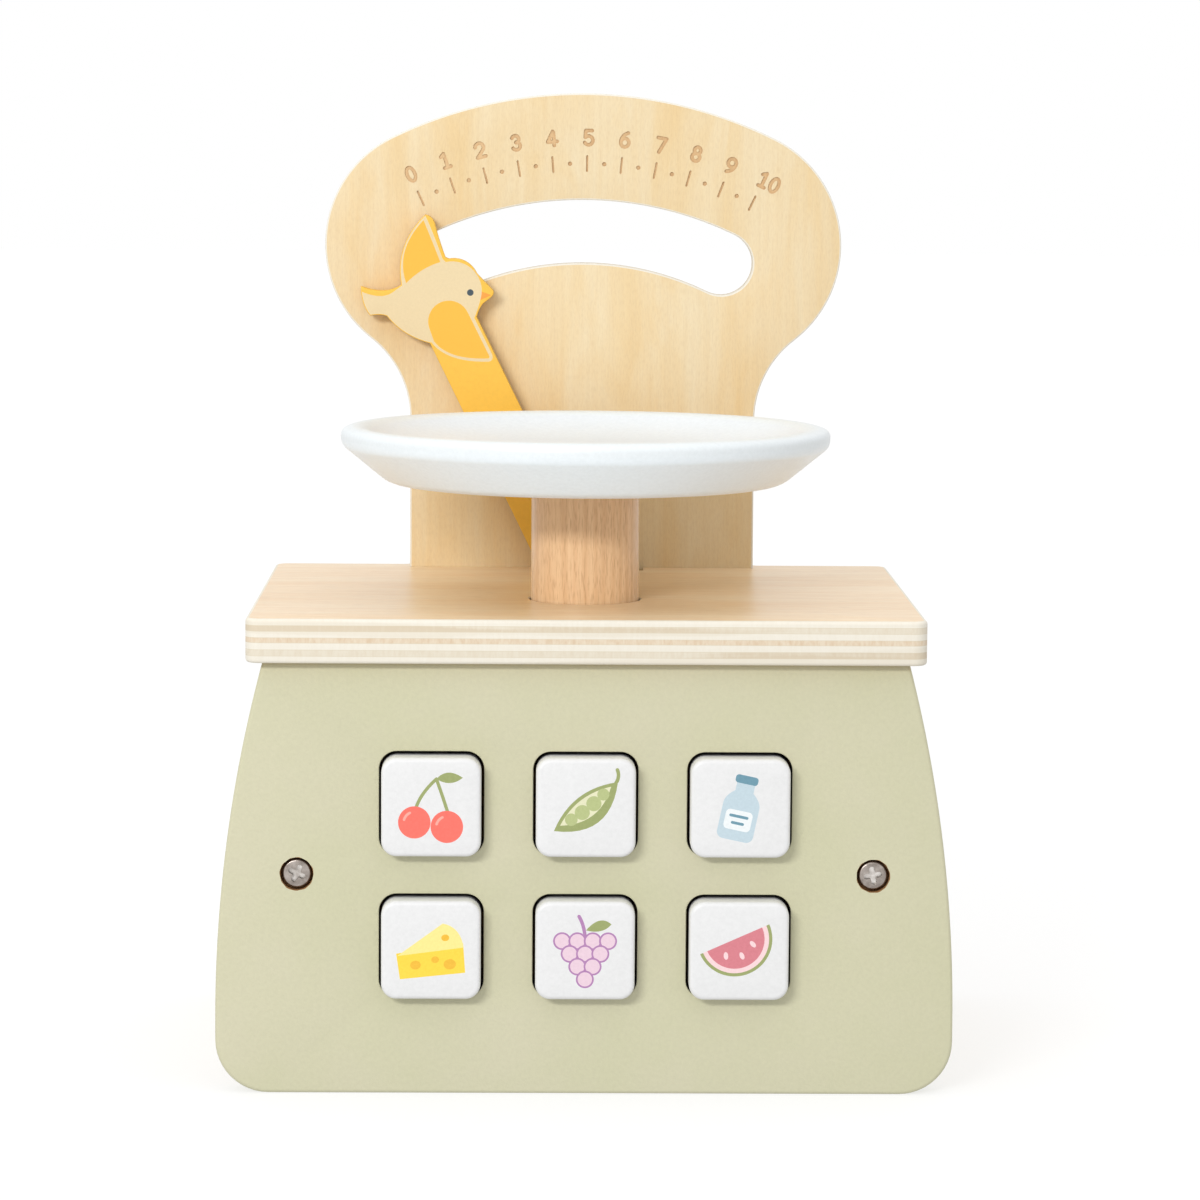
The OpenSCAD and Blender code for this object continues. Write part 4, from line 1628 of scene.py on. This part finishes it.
@dataclass(frozen=True)
class PlyPlate:
    """The plywood top plate, open for the pillar, the dial's neck and the pointer."""

    corner_radius: float = 3.25
    pillar_gap: float = 0.4
    neck_gap: float = 0.05
    pointer_room: float = 0.7
    pointer_front: float = 1
    ease: float = 0.8
    notch_points: int = 8
    notch_ease: float = 1

    def pointer_span(self, plate: Extent) -> Point:
        """What the pointer takes up within the plate's height at both ends of its swing.

        Args:
            plate: The plate's box.

        Returns:
            The least and the greatest X, with room to spare.
        """
        pointer = BirdPointer()
        pivot = Extent.of("pivot_screw").middle(Axis.Z)
        shape = pointer.outline(DialBoard().centre()[1] - pivot)
        found = []
        for turn in (0, -pointer.cam_turn):
            line = shape.placed((0, pivot), turn).points
            for start, end in zip(line, line[1:] + line[:1]):
                steps = max(2, round(math.dist(start, end)))
                spots = [(start[0] + (end[0] - start[0]) * i / steps,
                          start[1] + (end[1] - start[1]) * i / steps) for i in range(steps)]
                found += [x for x, z in spots if plate.low[2] <= z <= plate.high[2]]
        return min(found) - self.pointer_room, max(found) + self.pointer_room

    def outline(self, plate: Extent) -> Outline:
        """The plate with its notch for the neck and the pointer.

        Args:
            plate: The plate's box.

        Returns:
            The outline, with the notch's sharp points last.
        """
        (left, front, _), (right, rear, _) = plate.low, plate.high
        radius = self.corner_radius
        neck = DialBoard().neck_width / 2 + self.neck_gap
        neck_y = Extent.of("back_board").low[1] - self.neck_gap
        slot_left, slot_right = self.pointer_span(plate)
        slot_y = Extent.of("pointer").low[1] - self.pointer_front
        return Outline.through(
            [(-neck - self.notch_ease, rear)],
            arc((left + radius, rear - radius), radius, 90, 180, 8),
            arc((left + radius, front + radius), radius, 180, 270, 8),
            arc((right - radius, front + radius), radius, -90, 0, 8),
            arc((right - radius, rear - radius), radius, 0, 90, 8),
            [(neck + self.notch_ease, rear)],
            [(neck, rear), (neck, neck_y), (slot_right, neck_y), (slot_right, slot_y),
             (slot_left, slot_y), (slot_left, neck_y), (-neck, neck_y), (-neck, rear)])

    def build(self) -> None:
        """Builds and seats the plate."""
        plate, pillar = Extent.of("top_plate"), Extent.of("pillar")
        cut = PlyEdge("plate_ply_edge", Axis.Z, plate.low[2], plate.high[2], (
            (0.165, WHITE_PLY), (0.305, TAN_PLY), (0.46, WHITE_PLY), (0.575, BROWN_PLY),
            (0.72, WHITE_PLY), (0.85, TAN_PLY), (1.0, WHITE_PLY)))
        middle = (pillar.middle(Axis.X), pillar.middle(Axis.Y))
        hole = Outline.circle(middle, pillar.size(Axis.X) / 2 + self.pillar_gap, 72)
        maker = MeshMaker(Facing.TOP, plate.high[2])
        Slab(self.outline(plate), plate.size(Axis.Z), self.ease, PLATE_FACE, edge=cut, holes=(hole,),
             sharp_points=self.notch_points).draw(maker)
        seat(maker.piece("ply_plate"), "plate_ply", "top_plate")


@dataclass(frozen=True)
class TurnedDish:
    """The white turned dish with a rounded rim and a flat floor."""

    edge_width: float = 13.5
    foot_round: float = 7
    lip_radius: float = 3
    rim_radius: float = 1.6
    rim_land: float = 0.7
    crown_radius: float = 5.5
    crown_start: float = 65
    crown_end: float = 125
    floor_thickness: float = 7.5
    floor_radius: float = 34
    floor_shares: Triple = (0.6, 0.2, 0)
    socket_depth: float = 4
    socket_gap: float = 0.05
    # How far below the crest the rim's painted shade begins, and where it is full.
    worn_from: float = 4.8
    worn_to: float = 2.6
    sides: int = 144

    def profile(self, radius: float, height: float, socket: float) -> tuple[list[Point], list[Point]]:
        """The dish's section.

        Args:
            radius: Radius over the lip.
            height: Height of the dish.
            socket: Radius of the pillar's socket.

        Returns:
            Radius and depth below the rim's crest of each point, outside and then in the bowl.
        """
        crown_in = self.crown_radius - self.rim_radius
        crown_x = radius - self.rim_radius - crown_in * math.cos(math.radians(self.crown_start))
        crown = (crown_x, height - self.crown_radius)
        rim = polar(crown, crown_in, self.crown_start)
        lip = (radius - self.lip_radius, rim[1] - self.rim_land)
        foot = (radius - self.edge_width, self.foot_round)
        run, rise = lip[0] - foot[0], lip[1] - foot[1]
        flank = math.degrees(math.atan2(rise, run)
                             - math.asin((self.lip_radius - self.foot_round) / math.hypot(run, rise)))
        bowl = polar(crown, self.crown_radius, self.crown_end)
        slope = math.tan(math.radians(self.crown_end - 90))
        control = (bowl[0] - (bowl[1] - self.floor_thickness) / slope, self.floor_thickness)
        outside = (
            [(0, self.socket_depth), (socket, self.socket_depth), (socket, 0)]
            + arc(foot, self.foot_round, -90, flank - 90, 10)
            + arc(lip, self.lip_radius, flank - 90, 0, 12)
            + arc(rim, self.rim_radius, 0, self.crown_start, 8)
            + arc(crown, self.crown_radius, self.crown_start, self.crown_end, 12))
        inside = (
            bend(bowl, control, (self.floor_radius, self.floor_thickness), 16)
            + [(self.floor_radius * share, self.floor_thickness) for share in self.floor_shares])
        return [(r, height - z) for r, z in outside], [(r, height - z) for r, z in inside]

    def build(self) -> None:
        """Builds and seats the dish."""
        dish, pillar = Extent.of("dish"), Extent.of("pillar")
        # The outside is painted brighter and bluer than the other white paint: a painted cool fill light on
        # the dish's flank.
        outside = RimPaint("white_dish_outside_painted_light", (246, 252, 255), (245, 251, 254), roughness=0.35,
                           dimple=0.02, light=linear, low=dish.high[2] - self.worn_from,
                           high=dish.high[2] - self.worn_to)
        socket = pillar.size(Axis.X) / 2 + self.socket_gap
        middle = (dish.middle(Axis.X), dish.middle(Axis.Y))
        profiles = self.profile(dish.size(Axis.X) / 2, dish.size(Axis.Z), socket)
        maker = MeshMaker(Facing.TOP, dish.high[2])
        for profile, finish in zip(profiles, (outside, DISH_INSIDE)):
            maker.lathe(profile, middle, finish, self.sides)
        seat(maker.piece("white_dish"), "white_paint", "dish")


class Motif(Enum):
    """The food printed on a button."""

    CHERRIES = 1
    PEAS = 2
    MILK = 3
    CHEESE = 4
    GRAPES = 5
    MELON = 6


class FoodPrint:
    """Draws the plain food motifs round the middle of a button."""

    def layers(self, motif: Motif) -> list[Print]:
        """The layers of a motif.

        Args:
            motif: The food.

        Returns:
            The layers from the lowest up.
        """
        return {
            Motif.CHERRIES: self.cherries,
            Motif.PEAS: self.peas,
            Motif.MILK: self.milk,
            Motif.CHEESE: self.cheese,
            Motif.GRAPES: self.grapes,
            Motif.MELON: self.melon,
        }[motif]()

    def cherries(self) -> list[Print]:
        """Two cherries on forked stalks with a leaf.

        Returns:
            The layers from the lowest up.
        """
        fork = (1.2, 6.6)
        leaf = Outline.through(bend(fork, (3.6, 9.4), (7.2, 6.9)), bend((7.2, 6.9), (4.4, 4.6), fork))
        made = [Print(leaf, LEAF_INK)]
        for middle in ((-3.8, -3.4), (3.6, -4.4)):
            top = (middle[0] + 0.3, middle[1] + 3)
            made += [Print(Outline.ribbon(bend(top, (middle[0] * 0.7, 3), fork), 0.75), LEAF_INK),
                     Print(Outline.circle(middle, 3.7), CORAL_INK),
                     Print(Outline.ribbon(arc(middle, 2.4, 115, 165), 0.6), CORAL_LIGHT_INK)]
        return made

    def peas(self) -> list[Print]:
        """A slanting open pod with four peas.

        Returns:
            The layers from the lowest up.
        """
        tips = ((-8, 0), (8, 0))
        pod = Outline.through(bend(tips[0], (0, -8), tips[1]), bend(tips[1], (0, 4.6), tips[0]))
        inside = Outline.through(bend((-6.4, 0.1), (0, -4.6), (6.4, 0.1)),
                                 bend((6.4, 0.1), (0, 3.1), (-6.4, 0.1)))
        made = [Print(Outline.ribbon(bend((7.6, 0.1), (9, 0.6), (9.4, 2)), 0.7), LEAF_INK),
                Print(pod, LEAF_INK), Print(inside, PALE_GREEN_INK)]
        for x, y, radius in ((-3.9, -0.3, 1.25), (-1.3, -0.5, 1.5), (1.6, -0.5, 1.5), (4.2, -0.2, 1.2)):
            made.append(Print(Outline.circle((x, y), radius), PEA_INK))
        return [layer.placed((0, 0.4), 38, 1.15) for layer in made]

    def milk(self) -> list[Print]:
        """A milk bottle with a label and a cap.

        Returns:
            The layers from the lowest up.
        """
        bottle = Outline.through(
            arc((2.6, -5.8), 1.6, -90, 0), bend((4.2, 0.6), (4.2, 2.4), (2.1, 4)),
            [(2.1, 6), (-2.1, 6)], bend((-2.1, 4), (-4.2, 2.4), (-4.2, 0.6)),
            arc((-2.6, -5.8), 1.6, 180, 270))
        made = [Print(bottle, SKY_INK), Print(Outline.rounded_box((0, 6.8), 5.2, 1.9, 0.7), BLUE_INK),
                Print(Outline.rounded_box((0, -2.7), 6.2, 4.6, 1), LABEL_INK)]
        for height, half in ((-1.8, 1.9), (-3.4, 1.2)):
            made.append(Print(Outline.ribbon([(-half, height), (half, height)], 0.65), BLUE_INK))
        return [layer.placed(turn=-12) for layer in made]

    def cheese(self) -> list[Print]:
        """A wedge of cheese with holes.

        Returns:
            The layers from the lowest up.
        """
        tip, back = (-7.4, -0.4), (7, 0.4)
        front = Outline.through([tip, (-7.2, -5.4), (6.8, -5.4), back])
        top = Outline.through([tip, back], bend(back, (6.6, 4.4), (3.4, 5.4)))
        made = [Print(front.grown(0.5), SUN_INK), Print(top.grown(0.5), CREAM_YELLOW_INK)]
        for x, y, radius in ((-3.8, -3, 1.2), (0.8, -2.2, 0.9), (4, -3.6, 1.4), (3.6, 2.6, 0.9)):
            made.append(Print(Outline.oval((x, y), radius, radius * 0.85), AMBER_INK))
        return [layer.placed(turn=6) for layer in made]

    def grapes(self) -> list[Print]:
        """A bunch of grapes with a stalk and a leaf.

        Returns:
            The layers from the lowest up.
        """
        leaf = Outline.through(bend((0.2, 4.8), (3.4, 8.6), (6, 6.2)), bend((6, 6.2), (4, 3.8), (0.2, 4.8)))
        stalk = Outline.ribbon(bend((0, 3), (-0.2, 6), (-1.4, 8)), 0.8)
        made = [Print(stalk, PLUM_INK), Print(leaf, LEAF_INK)]
        radius, line = 2.05, 0.4
        for row, count in enumerate((4, 3, 2, 1)):
            for i in range(count):
                middle = ((i - (count - 1) / 2) * 3.5, 2.3 - 2.95 * row)
                made += [Print(Outline.circle(middle, radius, 32), PLUM_INK),
                         Print(Outline.circle(middle, radius - line, 32), LILAC_INK)]
        return made

    def melon(self) -> list[Print]:
        """A slice of melon with its rind and seeds.

        Returns:
            The layers from the lowest up.
        """
        made = [Print(Outline.through(arc((0, 3.4), radius, 180, 360, 36)), ink)
                for radius, ink in ((8.2, LEAF_INK), (7.5, BLUSH_INK), (6.5, ROSE_INK))]
        for x, y, lean in ((-3.2, 0.8, -18), (0, -0.6, 0), (3.2, 0.8, 18)):
            made.append(Print(Outline.oval((0, 0), 0.5, 0.85).placed((x, y), lean), BLUSH_INK))
        return [layer.placed((0.4, -0.4), 24, 1.05) for layer in made]


@dataclass(frozen=True)
class ButtonSet:
    """The six white buttons with their prints."""

    corner_radius: float = 3.4
    ease: float = 1.0
    print_scale: float = 0.98

    def build(self) -> None:
        """Builds and seats the buttons."""
        for motif in Motif:
            node = f"button_cap_{motif.value}"
            cap = Extent.of(node)
            middle = (cap.middle(Axis.X), cap.middle(Axis.Z))
            outline = Outline.rounded_box(middle, cap.size(Axis.X), cap.size(Axis.Z), self.corner_radius)
            layers = FoodPrint().layers(motif)
            maker = MeshMaker(Facing.FRONT, cap.low[1])
            Slab(outline, cap.size(Axis.Y), self.ease, WHITE_PAINT,
                 prints=tuple(layer.placed(middle, size=self.print_scale) for layer in layers)).draw(maker)
            seat(maker.piece(f"button_{motif.name.lower()}"), "white_paint", node)


@dataclass(frozen=True)
class ScrewSet:
    """Cross-head screws of one node, each with a domed head and a threaded shank."""

    node: str
    piece_name: str
    facing: Facing
    head_width: float = 6.5
    head_height: float = 2.2
    head_round: float = 0.5
    shank_width: float = 3.5
    shank_overlap: float = 0.1
    shank_sides: int = 24
    core_width: float = 2.5
    pitch: float = 1.4
    cross_length: float = 2.9
    cross_width: float = 1.2
    cross_depth: float = 0.9
    cross_middle: float = 0.96
    cross_turn: float = 64
    cross_step: float = 36

    def middles(self, box: Extent) -> list[Point]:
        """Where the screws' axes meet the drawing.

        Args:
            box: Box of all the screws together.

        Returns:
            The middle of each head.
        """
        across = Axis.Z if self.facing in (Facing.FRONT, Facing.REAR) else Axis.Y
        half = self.head_width / 2
        steps = {box.low[across.value] + half, box.high[across.value] - half}
        rows = [max(steps)] if max(steps) - min(steps) < self.head_width else sorted(steps)
        return [(x, row) for x in (box.low[0] + half, box.high[0] - half) for row in rows]

    def shank(self, length: float) -> list[Point]:
        """The section of the threaded shank, down to its tip.

        Args:
            length: Length of the whole screw.

        Returns:
            Radius and depth of each point.
        """
        core, crest = self.core_width / 2, self.shank_width / 2
        start, tip = self.head_height - self.shank_overlap, self.head_height + self.shank_width
        profile = [(0, start), (core, start)]
        turns = int((length - self.head_height - tip) / self.pitch)
        for i in range(turns):
            depth = self.head_height + self.pitch * (i + 0.5)
            profile += [(crest, depth), (core, depth + self.pitch / 3)]
        return profile + [(core, length - tip), (0, length)]

    def cross(self, middle: Point, turn: float) -> list[Recess]:
        """The cross in a head, with a painted highlight on its floor and painted shade on its walls.

        Args:
            middle: Middle of the head.
            turn: Turn of the cross, in degrees.

        Returns:
            Its two arms and its round middle.
        """
        arms = [[polar(middle, side * self.cross_length / 2, turn + quarter) for side in (-1, 1)]
                for quarter in (0, 90)]
        shapes = [Outline.ribbon(arm, self.cross_width) for arm in arms]
        shapes.append(Outline.circle(middle, self.cross_middle, 24))
        return [Recess(shape, self.cross_depth, CROSS_FLOOR_HIGHLIGHT, CROSS_WALL_SHADE) for shape in shapes]

    def build(self) -> None:
        """Builds and seats the screws."""
        box = Extent.of(self.node)
        front, deep = {
            Facing.FRONT: (box.low[1], Axis.Y),
            Facing.REAR: (box.high[1], Axis.Y),
            Facing.UNDER: (box.low[2], Axis.Z),
        }[self.facing]
        maker = MeshMaker(self.facing, front)
        for i, middle in enumerate(self.middles(box)):
            cross = self.cross(middle, self.cross_turn + self.cross_step * i)
            Slab(Outline.circle(middle, self.head_width / 2), self.head_height, self.head_round,
                 SCREW_STEEL, recesses=tuple(cross)).draw(maker)
            maker.lathe(self.shank(box.size(deep)), middle, SCREW_STEEL, self.shank_sides)
        seat(maker.piece(self.piece_name), "steel", self.node)


@dataclass(frozen=True)
class CoilSpring:
    """A return spring, which pushes its joint back; its coil is wound at its rest length."""

    node: str
    joint: str
    axis: Axis
    wire: float
    turns: int
    travel: float
    fixed_high: bool
    steps: int = 24
    sides: int = 10
    sharp: float = 60

    def coil(self, box: Extent) -> SceneObject:
        """Winds the wire.

        Args:
            box: The spring's box.

        Returns:
            The wound piece.
        """
        first, second = (axis for axis in Axis if axis is not self.axis)
        radius = (box.size(first) - self.wire) / 2
        length = box.size(self.axis) - self.wire
        count = self.steps * self.turns
        maker = MeshMaker()
        rings = []
        for i in range(count + 1):
            angle = math.tau * i / self.steps
            middle = (radius, length * (i / count - 0.5))
            ring = []
            for j in range(self.sides):
                out, lift = polar(middle, self.wire / 2, 360 * j / self.sides)
                spot = [box.middle(axis) for axis in Axis]
                spot[first.value] += out * math.cos(angle)
                spot[second.value] += out * math.sin(angle)
                spot[self.axis.value] += lift
                ring.append(maker.mesh.verts.new(Vector(spot) * MM))
            rings.append(ring)
        maker.skin(rings, SPRING_STEEL)
        for end in (rings[0], rings[-1]):
            maker.face(end, SPRING_STEEL)
        return maker.piece(f"coil_{self.node}", self.sharp)

    def build(self) -> None:
        """Builds and seats the spring."""
        box = Extent.of(self.node)
        piece = self.coil(box)
        seat(piece, "spring_steel", self.node)
        anchor = [box.middle(axis) for axis in Axis]
        anchor[self.axis.value] = (box.high if self.fixed_high else box.low)[self.axis.value]
        full = box.size(self.axis)
        self.axis.picked(1.0, 0.0)
        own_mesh(piece)


class InnerWorks:
    """The construction nodes that keep their own shape and get a finish."""

    finishes: dict[str, Finish] = {
        "left_side": BODY_FACE,
        "right_side": BODY_FACE,
        "base_board": BODY_FACE,
        "button_backer": BROWN_BOARD,
        "drive_arm": BROWN_BOARD,
        "button_flange": BROWN_BOARD,
        "pillar": PILLAR_WOOD,
        "guide_peg": DOWEL_WOOD,
        "front_dowels": DOWEL_WOOD,
        "rear_dowels": DOWEL_WOOD,
        "plate_dowels": DOWEL_WOOD,
        "arm_screw": SCREW_STEEL,
        "drive_pin": SCREW_STEEL,
        "pivot_screw": SCREW_STEEL,
        "pivot_washer": SCREW_STEEL,
    }

    def build(self) -> None:
        """Dresses every node that is still shown."""
        for name, node in frame["nodes"].items():
            if node.hide_render:
                continue
            kind = name.rstrip("_0123456789")
            for place in node.material_slots:
                place.material = self.finishes[kind].material()
            LOG.info("%s: keeps its shape, finish %s", name, self.finishes[kind].name)


@dataclass(frozen=True)
class Studio:
    """Floor, soft light and the camera."""

    eye: Triple = (-12.4, -1025.5, 219.9)
    pitch: float = -6.31
    yaw: float = 0.9
    roll: float = 0.38
    lens: float = 132
    sensor: float = 36
    sight: float = 100000
    horizon: float = 0.75
    zenith: float = 1.28
    backdrop: float = 1.0
    floor_tone: Colour = (150, 150, 150)
    floor_roughness: float = 0.9
    floor_glow: float = 0.66
    floor_radius: float = 6000
    floor_sides: int = 96
    strip_place: Triple = (-560, -1290, 635)
    strip_width: float = 550
    strip_height: float = 140
    strip_power: float = 9
    strip_aim: Triple = (0, 0, 100)

    def floor(self) -> None:
        """A wide pale floor at the object's foot."""
        mesh = bmesh.new()
        bmesh.ops.create_circle(mesh, cap_ends=True, segments=self.floor_sides,
                                radius=self.floor_radius * MM)
        data = bpy.data.meshes.new("studio_floor")
        mesh.to_mesh(data)
        mesh.free()
        sheet = NodeSheet("studio_floor", self.floor_roughness)
        sheet.surface.inputs["Base Color"].default_value = linear(self.floor_tone)
        sheet.surface.inputs["Emission Color"].default_value = linear(WHITE)
        sheet.surface.inputs["Emission Strength"].default_value = self.floor_glow
        data.materials.append(sheet.material)
        floor = linked("studio_floor", data)
        floor.visible_diffuse = False

    def strip(self) -> None:
        """A strip light from the upper left in front."""
        lamp = bpy.data.lights.new("strip_light", "AREA")
        lamp.shape = "RECTANGLE"
        lamp.size = self.strip_width * MM
        lamp.size_y = self.strip_height * MM
        lamp.energy = self.strip_power
        strip = linked("strip_light", lamp)
        strip.location = Vector(self.strip_place) * MM
        towards = Vector(self.strip_aim) * MM - strip.location
        strip.rotation_euler = towards.to_track_quat("-Z", "Y").to_euler()

    def room(self) -> None:
        """A dome of light that is brightest overhead, and plain white where it is seen."""
        world = bpy.data.worlds.new("pale_room")
        world.use_nodes = True
        nodes = Nodes(world.node_tree)
        direction = nodes.node("ShaderNodeTexCoord", {}).outputs["Generated"]
        upward = nodes.node("ShaderNodeSeparateXYZ", {"Vector": direction}).outputs["Z"]
        above = nodes.reckoned(Reckoning.GREATER, upward, 0)
        overhead = nodes.reckoned(Reckoning.MULTIPLY, above, above)
        glow = nodes.reckoned(Reckoning.MULTIPLY_ADD, overhead, self.zenith - self.horizon, self.horizon)
        rays = nodes.node("ShaderNodeLightPath", {}).outputs
        seen = nodes.reckoned(Reckoning.GREATER, rays["Is Camera Ray"], rays["Is Glossy Ray"])
        strength = nodes.node("ShaderNodeMix", {"Factor": seen, "A": glow, "B": self.backdrop})
        background = world.node_tree.nodes["Background"]
        background.inputs["Color"].default_value = linear(WHITE)
        nodes.feed(strength.outputs["Result"], background.inputs["Strength"])
        bpy.context.scene.world = world

    def camera(self) -> None:
        """The camera at the photograph's viewing angle, with the contrast of its film."""
        pitch, yaw, roll = (math.radians(a) for a in (self.pitch, self.yaw, self.roll))
        ahead = Vector((math.sin(yaw) * math.cos(pitch), math.cos(yaw) * math.cos(pitch), math.sin(pitch)))
        level = Vector((math.cos(yaw), -math.sin(yaw), 0))
        upright = level.cross(ahead)
        right = level * math.cos(roll) + upright * math.sin(roll)
        up = upright * math.cos(roll) - level * math.sin(roll)
        axes = Matrix((right, up, -ahead)).transposed().to_4x4()
        data = bpy.data.cameras.new("viewpoint")
        data.lens = self.lens
        data.sensor_width = self.sensor
        data.clip_end = self.sight * MM
        camera = linked("viewpoint", data)
        camera.matrix_world = Matrix.Translation(Vector(self.eye) * MM) @ axes
        scene = bpy.context.scene
        scene.camera = camera
        scene.view_settings.view_transform = "Standard"
        scene.view_settings.gamma = 1 / CONTRAST

    def build(self) -> None:
        """Sets the scene round the object."""
        self.floor()
        self.strip()
        self.room()
        self.camera()
        LOG.info("studio: floor, strip light, room light and camera")


def springs() -> list[CoilSpring]:
    """The return springs of the dish and of the buttons.

    Returns:
        The springs, that of the dish first.
    """
    places = [f"{row}_{column}" for row in ("upper", "lower") for column in ("left", "middle", "right")]
    made = [CoilSpring("dish_spring", "dish_press", Axis.Z, wire=1.4, turns=7, travel=15, fixed_high=False)]
    for i, place in enumerate(places):
        made.append(CoilSpring(f"button_spring_{i + 1}", f"press_{place}", Axis.Y, wire=0.8, turns=5,
                               travel=4, fixed_high=True))
    return made


def main() -> None:
    """Builds every sub-assembly, then the studio."""
    logging.basicConfig(level=logging.INFO, format="%(name)s: %(message)s")
    for assembly in (
        GreenPanel(), DialBoard(), BirdPointer(), PlyPlate(), TurnedDish(), ButtonSet(),
        ScrewSet("front_screws", "panel_screws", Facing.FRONT),
        ScrewSet("rear_screws", "back_screws", Facing.REAR),
        ScrewSet("base_screws", "foot_screws", Facing.UNDER),
        *springs(), InnerWorks(), Studio(),
    ):
        assembly.build()


if __name__ == "__main__":
    main()
